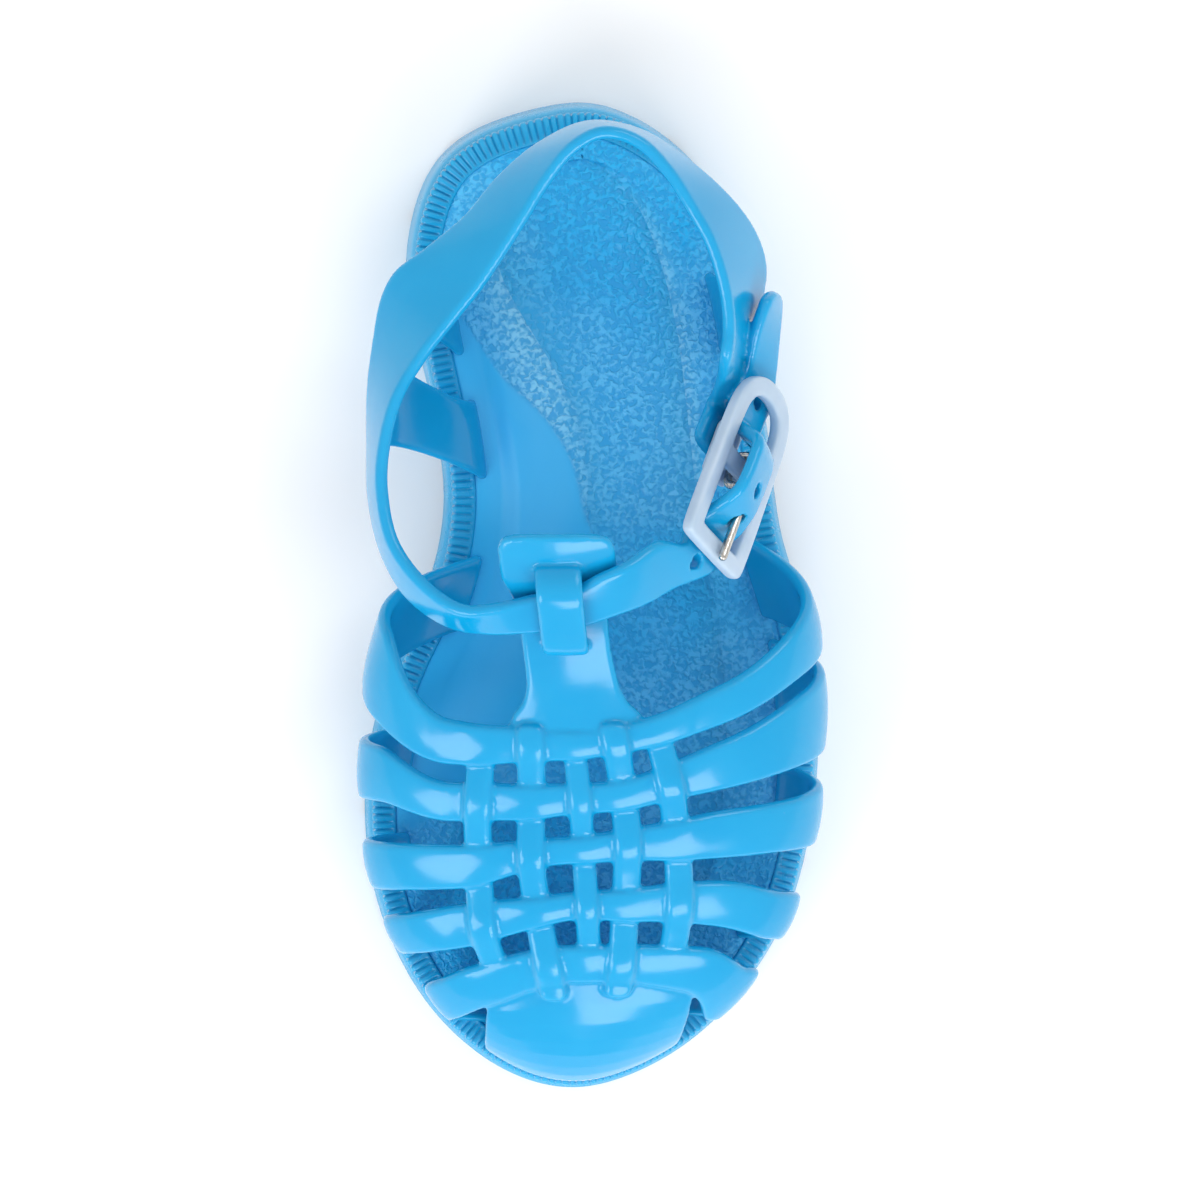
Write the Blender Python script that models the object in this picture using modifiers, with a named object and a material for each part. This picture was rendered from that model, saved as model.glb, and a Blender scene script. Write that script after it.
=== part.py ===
"""A toddler's moulded jelly sandal for the left foot: sole, footbed, woven cage upper and buckle.

Metres, +Z up. The toe points to -Y, the outer side of the foot is +X, and the floor is z = 0.
"""
import math

import bmesh
import bpy
import numpy as np
from mathutils import Matrix, Vector

# Driving dimensions
SOLE_LENGTH = 0.156
BALL_WIDTH = 0.072
FOREFOOT_RIM = 0.0100
HEEL_RIM = 0.0172
TOE_RIM_RISE = 0.0022
TOE_SPRING = 0.0046
ARCH_RISE = 0.0032
WALL_FLARE = 0.0012
LIP_STEP = 0.0008
LIP_DEPTH = 0.0030
RIM_WIDTH = 0.0038
BAND_WIDTH = 0.0030
RECESS_DEPTH = 0.0030
EDGE_ROUND = 0.0008
CLEARANCE = 0.0003
GROOVE_WIDTH = 0.0018
GROOVE_DEPTH = 0.0012
FOREFOOT_GROOVES = 6
HEEL_GROOVES = 4
CAGE_HEIGHT = 0.0600
STRAP_WALL = 0.0019
WEAVE_LIFT = 0.0007
COLUMN_WIDTH = 0.0037
MIDDLE_COLUMN_WIDTH = 0.0030
KEEPER_WIDTH = 0.0071
CAP_SHELF = 0.0013
CAP_SINK = 0.0010
CAP_CLIMB = 0.0014
ANKLE_STRAP_WIDTH = 0.0094
TAB_WIDTH = 0.0104
FOOTBED_DISH = 0.0012
ARCH_PAD = 0.0020
BUCKLE_LENGTH = 0.0302
BUCKLE_WIDTH = 0.0170
BUCKLE_BAR = 0.0026
BUCKLE_THICKNESS = 0.0022
WEB_WIDTH = 0.0032
PRONG_DIAMETER = 0.0014
PLATE_THICKNESS = 0.0012
PLATE_LENGTH = 0.0096
PLATE_WIDTH = 0.0078
RIVET_DIAMETER = 0.0024
RIVET_HEAD = 0.0044
STRAP_HOLE = 0.0024

# Outline of the sole at the floor: across as a share of the ball width, along as a share of the length.
OUTLINE = (
    (-0.052, 0.500), (-0.252, 0.474), (-0.360, 0.427), (-0.406, 0.346), (-0.383, 0.263), (-0.340, 0.167),
    (-0.327, 0.090), (-0.362, 0.013), (-0.452, -0.083), (-0.500, -0.192), (-0.476, -0.308), (-0.372, -0.410),
    (-0.212, -0.4775), (-0.031, -0.500), (0.163, -0.470), (0.323, -0.407), (0.4465, -0.309), (0.500, -0.173),
    (0.474, -0.032), (0.413, 0.0705), (0.383, 0.1795), (0.355, 0.288), (0.302, 0.375), (0.219, 0.442),
    (0.087, 0.487),
)
# Heights of the sole. Columns: along, share of the toe spring, share of the arch rise, share of the heel lift.
SOLE_HEIGHTS = (
    (-0.50, 1.00, 0.0, 0.00), (-0.42, 0.52, 0.0, 0.00), (-0.33, 0.15, 0.0, 0.00), (-0.25, 0.00, 0.0, 0.00),
    (-0.13, 0.00, 0.0, 0.04), (-0.04, 0.00, 0.6, 0.20), (0.06, 0.00, 1.0, 0.42), (0.14, 0.00, 0.9, 0.62),
    (0.20, 0.00, 0.0, 0.76), (0.36, 0.00, 0.0, 0.92), (0.50, 0.00, 0.0, 1.00),
)
# Crest of the instep: along, height as a share of the cage height, across as a share of the ball width.
CREST = (
    (-0.470, 0.217, -0.030), (-0.440, 0.325, -0.030), (-0.400, 0.425, -0.030), (-0.360, 0.492, -0.030),
    (-0.300, 0.555, -0.032), (-0.240, 0.605, -0.034), (-0.185, 0.653, -0.036), (-0.120, 0.703, -0.044),
    (-0.064, 0.742, -0.060), (-0.026, 0.780, -0.074),
    (0.000, 0.815, -0.081), (0.031, 0.870, -0.089), (0.058, 0.925, -0.096), (0.080, 0.965, -0.101),
    (0.100, 0.988, -0.104),
)
# Each section of the cage is a Bezier: how far up it is widest, how far out it leaves the crest, its first slope.
BELLY_TURN = 0.30
SHOULDER = 0.80
ROOT_STEEP = 0.38
# Widest point of the cage past the sole's edge, as shares of the ball width: along, inner side, outer side.
BELLY = (
    (-0.47, -0.064, -0.064), (-0.37, -0.044, -0.036), (-0.32, -0.025, -0.028), (-0.26, -0.012, -0.022),
    (-0.16, 0.008, -0.019), (-0.05, 0.053, -0.003), (0.03, 0.083, 0.000), (0.08, 0.090, 0.000),
)
# Where the columns of the tables of straps lie round the foot: -1 inner root, 0 crest, 1 outer root.
ROUND_THE_FOOT = (-1.0, -0.5, -0.25, 0.0, 0.25, 0.5, 1.0)
# Edges of the five vamp straps as shares of the sole length, heelward edge and toeward edge.
STRAPS = (
    ("strap_1", (0.048, -0.013, -0.098, -0.106, -0.065, -0.010, 0.067),
     (-0.029, -0.106, -0.144, -0.137, -0.104, -0.061, -0.016)),
    ("strap_2", (-0.125, -0.131, -0.163, -0.162, -0.121, -0.079, -0.038),
     (-0.199, -0.188, -0.203, -0.194, -0.171, -0.153, -0.131)),
    ("strap_3", (-0.234, -0.230, -0.227, -0.215, -0.193, -0.185, -0.167),
     (-0.288, -0.279, -0.272, -0.244, -0.242, -0.240, -0.240)),
    ("strap_4", (-0.317, -0.304, -0.289, -0.274, -0.266, -0.283, -0.295),
     (-0.356, -0.344, -0.333, -0.304, -0.312, -0.331, -0.343)),
    ("strap_5", (-0.391, -0.373, -0.351, -0.330, -0.335, -0.362, -0.372),
     (-0.426, -0.413, -0.394, -0.369, -0.381, -0.417, -0.420)),
)
# Lengthwise strips. Columns: name, place round the foot at the heelward, middle and toeward end, the two ends
# as shares of the sole length, and 1 where the strip is over the second and fourth strap.
COLUMNS = (
    ("column_1", (-0.180, -0.200, -0.215), -0.128, -0.350, 1),
    ("column_2", (-0.080, -0.090, -0.070), -0.100, -0.385, -1),
    ("column_3", (-0.010, 0.000, 0.010), -0.125, -0.345, 1),
    ("column_4", (0.048, 0.070, 0.072), -0.098, -0.382, -1),
    ("column_5", (0.120, 0.160, 0.185), -0.108, -0.340, 1),
)
# Route of the heel and ankle strap: across (ball width), along (length) and height (cage height) of its upper
# edge, and the same of its lower edge, from the keeper round the inner side and the heel to the outer side.
ANKLE_ROUTE = (
    ((0.115, 0.083, 0.893), (0.156, 0.036, 0.782)),
    ((0.049, 0.065, 0.942), (0.086, 0.021, 0.838)),
    ((-0.011, 0.053, 0.950), (0.014, 0.010, 0.872)),
    ((-0.069, 0.039, 0.934), (-0.061, -0.001, 0.862)),
    ((-0.147, 0.032, 0.912), (-0.153, -0.006, 0.846)),
    ((-0.222, 0.022, 0.895), (-0.243, -0.008, 0.800)),
    ((-0.299, 0.019, 0.872), (-0.326, -0.001, 0.733)),
    ((-0.378, 0.043, 0.830), (-0.407, 0.025, 0.687)),
    ((-0.439, 0.081, 0.793), (-0.458, 0.067, 0.643)),
    ((-0.461, 0.128, 0.770), (-0.483, 0.119, 0.603)),
    ((-0.457, 0.170, 0.763), (-0.485, 0.173, 0.570)),
    ((-0.428, 0.218, 0.763), (-0.485, 0.226, 0.560)),
    ((-0.375, 0.258, 0.770), (-0.475, 0.272, 0.567)),
    ((-0.314, 0.293, 0.783), (-0.461, 0.312, 0.587)),
    ((-0.254, 0.327, 0.803), (-0.431, 0.340, 0.617)),
    ((-0.203, 0.362, 0.828), (-0.367, 0.362, 0.657)),
    ((-0.157, 0.397, 0.853), (-0.285, 0.393, 0.687)),
    ((-0.114, 0.431, 0.878), (-0.214, 0.431, 0.700)),
    ((-0.061, 0.463, 0.900), (-0.128, 0.463, 0.707)),
    ((0.003, 0.478, 0.907), (-0.025, 0.483, 0.708)),
    ((0.075, 0.468, 0.897), (0.086, 0.474, 0.705)),
    ((0.136, 0.438, 0.873), (0.183, 0.446, 0.683)),
    ((0.183, 0.403, 0.843), (0.267, 0.413, 0.633)),
    ((0.217, 0.376, 0.833), (0.322, 0.381, 0.567)),
    ((0.241, 0.347, 0.817), (0.350, 0.347, 0.525)),
    ((0.258, 0.316, 0.800), (0.345, 0.314, 0.517)),
    ((0.264, 0.286, 0.783), (0.314, 0.282, 0.533)),
    ((0.257, 0.255, 0.767), (0.284, 0.244, 0.550)),
)
# Tail of the strap behind the buckle, in the same measures as the route.
TAIL_ROUTE = (
    ((0.358, 0.322, 0.653), (0.376, 0.320, 0.587)),
    ((0.346, 0.310, 0.687), (0.383, 0.307, 0.543)),
    ((0.328, 0.281, 0.670), (0.381, 0.277, 0.533)),
)
# Height of the strap over the buckle's middle plane, in its thicknesses, along the buckle from front to back.
STRAP_OVER_BUCKLE = (
    (-0.510, -1.30), (-0.410, -1.38), (-0.350, -0.75), (-0.290, 0.30), (-0.235, 1.35), (-0.180, 2.00),
    (-0.090, 2.22), (0.000, 2.25), (0.050, 2.24), (0.095, 1.95), (0.140, 0.95), (0.185, -0.30), (0.230, -1.20),
    (0.275, -1.45), (0.370, -1.44), (0.480, -1.38),
)
# How far the strap's upper edge rises, its lower edge drops and both move up over the buckle, as shares of its
# height over the buckle's middle plane.
STRAP_RISE = 0.64
STRAP_DROP = 0.38
STRAP_SHIFT = 0.22
# Length of one step of the strap's surface.
STRAP_STEP = 0.0032
# Legs from the ankle strap to the sole. Columns: name, first and last row of the strap's route that they hang
# from, and their roots along the sole, toeward and heelward.
LEGS = (
    ("leg_inner_front", 9.8, 12.0, 0.1245, 0.206),
    ("leg_inner_rear", 12.6, 15.0, 0.2495, 0.322),
    ("leg_outer_rear", 23.56, 25.1, 0.333, 0.252),
    ("leg_outer_front", 25.6, 27.4, 0.236, 0.170),
)
# A leg: how far into the strap it reaches, how much it narrows halfway, how far it runs on in line with the
# strap, how far up it starts straight, and its wall as a share of the strap's.
LEG_REACH = 0.62
LEG_PINCH = 0.22
LEG_SWEEP = 0.48
LEG_STRAIGHT = 0.30
LEG_WALL = 0.86
# Half width of the T-bar and head plate as a share of the ball width, along the sole.
T_BAR = (
    (-0.128, 0.150), (-0.112, 0.150), (-0.096, 0.136), (-0.080, 0.110), (-0.060, 0.097), (-0.020, 0.093),
    (0.015, 0.096), (0.032, 0.108), (0.046, 0.1225), (0.072, 0.1225), (0.083, 0.116), (0.0935, 0.084),
)
T_BAR_WALL = 0.9
T_BAR_ROUND = 0.030
KEEPER_BACK = 0.063
KEEPER_FRONT = -0.020
KEEPER_RISE = 0.0049
CAP_SIDES = (-0.240, 0.182)
CAP_TOP = (-0.29, 0.31)
CAP_STEPS = 7
CAP_ANGLE = math.radians(68)

# Buckle: its middle, and the directions of its length (towards the heel) and of its width (outwards and down).
BUCKLE_PLACE = (0.298, 0.1465, 0.692)
BUCKLE_ALONG = Vector((0.34, 0.84, -0.42)).normalized()
BUCKLE_DOWN = Vector((0.486, -0.539, -0.685))
TAB_DROP = 0.0064
# Rows of the tab under the buckle: along the buckle, and width as a share of the tab's.
TAB_ROWS = ((0.32, 1.0), (0.20, 1.0), (0.10, 1.0), (0.055, 0.72))
# Half of the outline goes round the front end and half round the back. Columns: along, down.
BUCKLE_OUTLINE = (
    (0.500, 0.00), (0.492, 0.14), (0.462, 0.27), (0.405, 0.38), (0.31, 0.455), (0.16, 0.485), (-0.02, 0.49),
    (-0.22, 0.50), (-0.40, 0.50), (-0.468, 0.485), (-0.495, 0.42), (-0.50, 0.20), (-0.50, 0.00), (-0.50, -0.20),
    (-0.495, -0.42), (-0.468, -0.485), (-0.40, -0.50), (-0.22, -0.50), (-0.02, -0.49), (0.16, -0.485),
    (0.31, -0.455), (0.405, -0.38), (0.462, -0.27), (0.492, -0.14),
)
PRONG_REACH = 0.485
PRONG_SIDE = 0.02
RIVET_PLACE = 0.20
# Adjusting holes of the strap. Columns: along and down the buckle, height over it in strap thicknesses.
STRAP_HOLES = (
    (-0.540, -0.02, -1.25), (-0.120, -0.045, 2.0), (0.150, 0.00, 0.55), (0.400, 0.03, -1.44),
)


def clear_scene():
    for thing in list(bpy.data.objects):
        bpy.data.objects.remove(thing, do_unlink=True)
    for group in list(bpy.data.collections):
        bpy.data.collections.remove(group)


def make_material(name, colour, roughness, metallic=0.0, transmission=0.0):
    material = bpy.data.materials.new(name)
    material.use_nodes = True
    shader = material.node_tree.nodes["Principled BSDF"]
    shader.inputs["Base Color"].default_value = (*colour, 1.0)
    shader.inputs["Roughness"].default_value = roughness
    shader.inputs["Metallic"].default_value = metallic
    shader.inputs["Transmission Weight"].default_value = transmission
    return material


def make_collection(name):
    group = bpy.data.collections.new(name)
    bpy.context.scene.collection.children.link(group)
    return group


def add_object(name, mesh, group, material=None):
    thing = bpy.data.objects.new(name, mesh)
    group.objects.link(thing)
    if material:
        mesh.materials.append(material)
    return thing


def hide_cutter(thing):
    thing.hide_render = True
    thing.display_type = "WIRE"


def smooth_curve(points, closed=False, steps=24):
    """Catmull-Rom curve through the points, with the given number of steps between two of them."""
    points = np.asarray(points, float)
    count = len(points)
    if not closed:
        points = np.vstack([2 * points[0] - points[1], points, 2 * points[-1] - points[-2]])
    pieces = []
    for index in range(count if closed else count - 1):
        if closed:
            before, start, end, after = (points[(index + step) % count] for step in (-1, 0, 1, 2))
        else:
            before, start, end, after = points[index:index + 4]
        t = np.linspace(0.0, 1.0, steps, endpoint=False)[:, None]
        bend = 2 * before - 5 * start + 4 * end - after
        pieces.append(0.5 * (2 * start + (end - before) * t + bend * t ** 2
                             + (3 * start - before - 3 * end + after) * t ** 3))
    curve = np.concatenate(pieces)
    return curve if closed else np.vstack([curve, points[-2:-1]])


def steady_table(rows, column):
    """Function through a table's column that never swings past its rows (monotone cubic)."""
    rows = np.asarray([[row[0], row[column]] for row in rows], float)
    x, y = rows[:, 0], rows[:, 1]
    slopes = np.diff(y) / np.diff(x)
    tangents = np.zeros(len(x))
    same_way = slopes[:-1] * slopes[1:] > 0
    before, after = slopes[:-1][same_way], slopes[1:][same_way]
    tangents[1:-1][same_way] = 2 * before * after / (before + after)
    tangents[0], tangents[-1] = slopes[0], slopes[-1]

    def value(at):
        at = np.clip(np.asarray(at, float), x[0], x[-1])
        index = np.clip(np.searchsorted(x, at, side="right") - 1, 0, len(x) - 2)
        span = x[index + 1] - x[index]
        t = (at - x[index]) / span
        return ((1 + 2 * t) * (1 - t) ** 2 * y[index] + t * (1 - t) ** 2 * span * tangents[index]
                + t ** 2 * (3 - 2 * t) * y[index + 1] + t ** 2 * (t - 1) * span * tangents[index + 1])

    return value


SPRING_SHARE = steady_table(SOLE_HEIGHTS, 1)
ARCH_SHARE = steady_table(SOLE_HEIGHTS, 2)
HEEL_SHARE = steady_table(SOLE_HEIGHTS, 3)
CREST_HEIGHT = steady_table(CREST, 1)
CREST_ACROSS = steady_table(CREST, 2)
BELLY_INNER = steady_table(BELLY, 1)
BELLY_OUTER = steady_table(BELLY, 2)


def underside(y):
    share = np.asarray(y) / SOLE_LENGTH
    return SPRING_SHARE(share) * TOE_SPRING + ARCH_SHARE(share) * ARCH_RISE


def rim_top(y):
    share = np.asarray(y) / SOLE_LENGTH
    return FOREFOOT_RIM + HEEL_SHARE(share) * (HEEL_RIM - FOREFOOT_RIM) + SPRING_SHARE(share) * TOE_RIM_RISE


DENSE_OUTLINE = smooth_curve(OUTLINE, closed=True, steps=40) * (BALL_WIDTH, SOLE_LENGTH)
DENSE_OUTLINE -= (DENSE_OUTLINE.max(axis=0) + DENSE_OUTLINE.min(axis=0)) / 2
INNER_EDGE = WALL_FLARE + RIM_WIDTH
BAND_OUTER = INNER_EDGE + CLEARANCE
BAND_INNER = BAND_OUTER + BAND_WIDTH
ROOT_INSET = BAND_OUTER + 0.56 * BAND_WIDTH
ROOT_DEPTH = 0.25 * RECESS_DEPTH
ROOT_RISE = 0.0005


def outline_normals():
    ahead = np.roll(DENSE_OUTLINE, -1, axis=0) - np.roll(DENSE_OUTLINE, 1, axis=0)
    ahead /= np.linalg.norm(ahead, axis=1)[:, None]
    return np.stack([-ahead[:, 1], ahead[:, 0]], axis=1)


INWARD = outline_normals()


def station_indices(count):
    """Points of the outline from heel to toe down the inner side, then back up the outer side, in pairs."""
    heel = int(np.argmax(DENSE_OUTLINE[:, 1]))
    toe = int(np.argmin(DENSE_OUTLINE[:, 1]))
    total = len(DENSE_OUTLINE)
    order = (heel + np.arange(total + 1)) % total
    split = (toe - heel) % total
    inner, outer = order[:split + 1], order[split:][::-1]
    spread = 0.5 * (1 - np.cos(np.linspace(0, math.pi, count + 1)))
    spread = 0.55 * spread + 0.45 * np.linspace(0, 1, count + 1)
    lengths = DENSE_OUTLINE[heel, 1] + (DENSE_OUTLINE[toe, 1] - DENSE_OUTLINE[heel, 1]) * spread
    first = [inner[np.argmin(np.abs(DENSE_OUTLINE[inner, 1] - y))] for y in lengths]
    second = [outer[np.argmin(np.abs(DENSE_OUTLINE[outer, 1] - y))] for y in lengths[1:-1]]
    return np.array(first + second[::-1])


STATIONS = 34
STATION_INDEX = station_indices(STATIONS)


def sole_loop(inset, height):
    """Loop round the sole at an inset from its outline, with its height as a function of the place along."""
    flat = DENSE_OUTLINE[STATION_INDEX] + INWARD[STATION_INDEX] * inset
    return np.column_stack([flat, height(flat[:, 1])])


def side_at(inset):
    """Functions that give the inner and the outer edge across, at a place along, for a loop at that inset."""
    ring = DENSE_OUTLINE + INWARD * inset
    heel = int(np.argmax(ring[:, 1]))
    ring = np.roll(ring, -heel, axis=0)
    toe = int(np.argmin(ring[:, 1]))
    inner, outer = ring[:toe + 1][::-1], ring[toe:]

    def inner_edge(y):
        return np.interp(y, inner[:, 1], inner[:, 0])

    def outer_edge(y):
        return np.interp(y, outer[:, 1], outer[:, 0])

    return inner_edge, outer_edge


ROOT_SIDES = side_at(ROOT_INSET)
SOLE_SIDES = side_at(0.0)


def strip_cap(start, count, upward):
    """Faces that close a loop of 2 * count points with strips across the foot."""
    faces = []
    for index in range(count):
        here, ahead = index, index + 1
        back_here, back_ahead = (2 * count - here) % (2 * count), 2 * count - ahead
        corners = []
        for corner in (here, ahead, back_ahead, back_here):
            if start + corner not in corners:
                corners.append(start + corner)
        faces.append(corners if upward else corners[::-1])
    return faces


def loop_mesh(name, loops):
    """Closed body from loops that run from the underside, out, up and in over the top."""
    count = len(loops[0])
    faces = strip_cap(0, count // 2, upward=False)
    for level in range(len(loops) - 1):
        for index in range(count):
            ahead = (index + 1) % count
            low, high = level * count, (level + 1) * count
            faces.append((low + index, low + ahead, high + ahead, high + index))
    faces += strip_cap((len(loops) - 1) * count, count // 2, upward=True)
    mesh = bpy.data.meshes.new(name)
    mesh.from_pydata(np.concatenate(loops).tolist(), [], faces)
    return mesh


def sheet_mesh(name, grid):
    """Open surface through a grid of points, rows by columns."""
    rows, columns = grid.shape[:2]
    faces = []
    for row in range(rows - 1):
        for column in range(columns - 1):
            first = row * columns + column
            faces.append((first, first + 1, first + columns + 1, first + columns))
    mesh = bpy.data.meshes.new(name)
    mesh.from_pydata(grid.reshape(-1, 3).tolist(), [], faces)
    return mesh


def add_sheet(name, grid, group, thickness=STRAP_WALL):
    """Sheet of even thickness, half on either side of the grid."""
    sheet = add_object(name, sheet_mesh(name, grid), group)
    solid = sheet.modifiers.new("wall", "SOLIDIFY")
    solid.thickness = thickness
    solid.offset = 0.0
    solid.use_quality_normals = True
    hide_cutter(sheet)
    return sheet


def add_boolean(target, operand, operation):
    cut = target.modifiers.new(operand.name, "BOOLEAN")
    cut.operation = operation
    cut.solver = "EXACT"
    if isinstance(operand, bpy.types.Collection):
        cut.operand_type = "COLLECTION"
        cut.collection = operand
    else:
        cut.object = operand
    return cut


def bezier_weights(t):
    return (1 - t) ** 3, 3 * (1 - t) ** 2 * t, 3 * (1 - t) * t ** 2, t ** 3


def cage_surface(y, turn):
    """Middle of the vamp's wall at a place along and round the foot: -1 inner root, 0 crest, 1 outer root."""
    y, turn = np.broadcast_arrays(np.asarray(y, float), np.asarray(turn, float))
    side = np.where(turn < 0, -1.0, 1.0)
    share = y / SOLE_LENGTH
    root_height = rim_top(y) + ROOT_RISE
    crest = CREST_ACROSS(share) * BALL_WIDTH
    root = np.where(side < 0, ROOT_SIDES[0](y), ROOT_SIDES[1](y))
    edge = np.where(side < 0, SOLE_SIDES[0](y), SOLE_SIDES[1](y))
    belly = edge + side * BALL_WIDTH * np.where(side < 0, BELLY_INNER(share), BELLY_OUTER(share))
    widest = bezier_weights(BELLY_TURN)
    fixed = widest[0] * root + (widest[2] * (1 - SHOULDER) + widest[3]) * crest
    reach = (belly - fixed) / (widest[1] + widest[2] * SHOULDER)
    near_crest = crest + SHOULDER * (reach - crest)
    lift = CREST_HEIGHT(share) * CAGE_HEIGHT - root_height
    weights = bezier_weights(1 - np.abs(turn))
    across = weights[0] * root + weights[1] * reach + weights[2] * near_crest + weights[3] * crest
    height = root_height + lift * (ROOT_STEEP * weights[1] + weights[2] + weights[3])
    return np.stack([across, y, height], axis=-1)


def sheet_normals(grid):
    along = np.gradient(grid, axis=0)
    across = np.gradient(grid, axis=1)
    normals = np.cross(along, across)
    return normals / np.linalg.norm(normals, axis=-1)[..., None]


def outward_normals(grid):
    """Unit normals of a vamp sheet, turned away from the foot."""
    normals = sheet_normals(grid)
    middle = np.array([0.0, 0.0, FOREFOOT_RIM])
    away = grid - middle * [1, 0, 1] - grid * [0, 1, 0]
    flip = np.where((normals * away).sum(axis=-1) < 0, -1.0, 1.0)
    return normals * flip[..., None]


def cage_normals(y, turn, step=0.0003, swing=0.004):
    """Unit normals of the cage, outwards, from small steps along and round it."""
    along = cage_surface(y + step, turn) - cage_surface(y - step, turn)
    around = cage_surface(y, turn + swing) - cage_surface(y, turn - swing)
    normals = np.cross(around, along)
    return normals / np.linalg.norm(normals, axis=-1)[..., None]


def column_turn(turns, ends, y):
    middle = (ends[0] + ends[1]) / 2
    rows = sorted(((ends[1], turns[2]), (middle, turns[1]), (ends[0], turns[0])))
    return steady_table(rows, 1)(np.asarray(y) / SOLE_LENGTH)


def strap_edges(strap):
    _, heelward, toeward = strap
    back = steady_table(list(zip(ROUND_THE_FOOT, heelward)), 1)
    front = steady_table(list(zip(ROUND_THE_FOOT, toeward)), 1)
    return (lambda turn: back(turn) * SOLE_LENGTH), (lambda turn: front(turn) * SOLE_LENGTH)


def bump(distance, reach):
    return np.exp(-(distance / reach) ** 2)


def strap_grid(index, strap, rows=21, across=4):
    """Grid of one vamp strap, raised or sunk where it crosses the lengthwise strips."""
    back, front = strap_edges(strap)
    spread = np.linspace(-1, 1, rows)
    turn = np.sign(spread) * np.abs(spread) ** 1.15
    turn = turn[:, None] + np.zeros(across)
    share = np.linspace(0, 1, across)[None, :]
    y = back(turn) * (1 - share) + front(turn) * share
    grid = cage_surface(y, turn)
    normals = outward_normals(grid)
    lift = np.zeros(turn.shape)
    for _, turns, start, end, phase in COLUMNS:
        at = cage_surface(y, column_turn(turns, (start, end), y))
        distance = np.linalg.norm(grid - at, axis=-1)
        over = -phase if index % 2 else phase
        inside = (y.mean(axis=1) / SOLE_LENGTH < start + 0.01) & (y.mean(axis=1) / SOLE_LENGTH > end - 0.01)
        lift += np.where(inside[:, None], over, 0.0) * bump(distance, COLUMN_WIDTH)
    grid = grid + normals * (np.clip(lift, -1, 1) * WEAVE_LIFT)[..., None]
    drop = np.array([0.0, 0.0, ROOT_RISE + ROOT_DEPTH])
    return np.concatenate([grid[:1] - drop, grid, grid[-1:] - drop])


def column_grid(column, rows=17, across=3):
    """Grid of one lengthwise strip, over and under the straps in turn."""
    name, turns, start, end, phase = column
    _, cap_front = strap_edges(STRAPS[4])
    width = MIDDLE_COLUMN_WIDTH if name == "column_3" else COLUMN_WIDTH
    y = np.linspace(start, end, rows) * SOLE_LENGTH
    turn = column_turn(turns, (start, end), y)
    centre = cage_surface(y, turn)
    step = 0.02
    sideways = cage_surface(y, turn + step) - cage_surface(y, turn - step)
    sideways /= np.linalg.norm(sideways, axis=1)[:, None]
    offsets = np.linspace(-width / 2, width / 2, across)
    grid = centre[:, None, :] + sideways[:, None, :] * offsets[None, :, None]
    lift = np.zeros(rows)
    for index, strap in enumerate(STRAPS):
        back, front = strap_edges(strap)
        middle = (back(turn) + front(turn)) / 2
        over = phase if index % 2 else -phase
        lift += over * bump(y - middle, 0.0032)
    lift = np.clip(lift, -1, 1) * WEAVE_LIFT
    if phase < 0:
        lift += CAP_CLIMB * np.clip((cap_front(turn) - y) / STRAP_WALL, 0, 1)
    return grid + outward_normals(grid) * lift[:, None, None]


def toe_line(inset, x):
    """Places across turned into points of the sole's toe at an inset from the outline."""
    ring = DENSE_OUTLINE + INWARD * inset
    front = ring[ring[:, 1] < -0.36 * SOLE_LENGTH]
    front = front[np.argsort(front[:, 0])]
    return np.column_stack([x, np.interp(x, front[:, 0], front[:, 1])])


def cap_grid(columns=17):
    """Toe cap: curves that rise steeply from the sole's toe and level out at the fifth strap."""
    _, front = strap_edges(STRAPS[4])
    turn = np.linspace(*CAP_TOP, columns)
    tucked = front(turn) + STRAP_WALL * 0.7
    top = cage_surface(tucked, turn) - cage_normals(tucked, turn) * CAP_SINK
    across = np.linspace(*CAP_SIDES, columns) * BALL_WIDTH
    root = toe_line(WALL_FLARE + RIM_WIDTH / 2, across)
    root_height = rim_top(root[:, 1]) + CLEARANCE + CAP_SHELF / 3
    angle = np.linspace(0, CAP_ANGLE, CAP_STEPS)
    inward = (1 - np.cos(angle)) / (1 - math.cos(angle[-1]))
    upward = np.sin(angle) / math.sin(angle[-1])
    flat = root[:, None, :] + (top[:, None, :2] - root[:, None, :]) * inward[None, :, None]
    height = root_height[:, None] + (top[:, None, 2] - root_height[:, None]) * upward[None, :]
    return np.concatenate([flat, height[..., None]], axis=-1)


def shelf_grid(columns=17):
    """Foot of the toe cap, which rests over the rim and runs in to the base band."""
    across = np.linspace(*CAP_SIDES, columns) * BALL_WIDTH
    rows = []
    for inset, rise in ((WALL_FLARE + RIM_WIDTH / 2, 1.0), (INNER_EDGE, 1.0), (ROOT_INSET, 0.0)):
        share = 1 - 0.6 * (inset - WALL_FLARE - RIM_WIDTH / 2) / BALL_WIDTH
        line = toe_line(inset, across * share)
        height = rim_top(line[:, 1]) + rise * (CLEARANCE + CAP_SHELF / 2) + (1 - rise) * CLEARANCE / 2
        rows.append(np.column_stack([line, height]))
    return np.stack(rows, axis=1)


def bar_point(y):
    share = y / SOLE_LENGTH
    return np.array([float(CREST_ACROSS(share)) * BALL_WIDTH, y, float(CREST_HEIGHT(share)) * CAGE_HEIGHT])


def bar_normal(y):
    step = 0.0005
    along = bar_point(y + step) - bar_point(y - step)
    normal = np.array([0.0, -along[2], along[1]])
    return normal / np.linalg.norm(normal)


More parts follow.
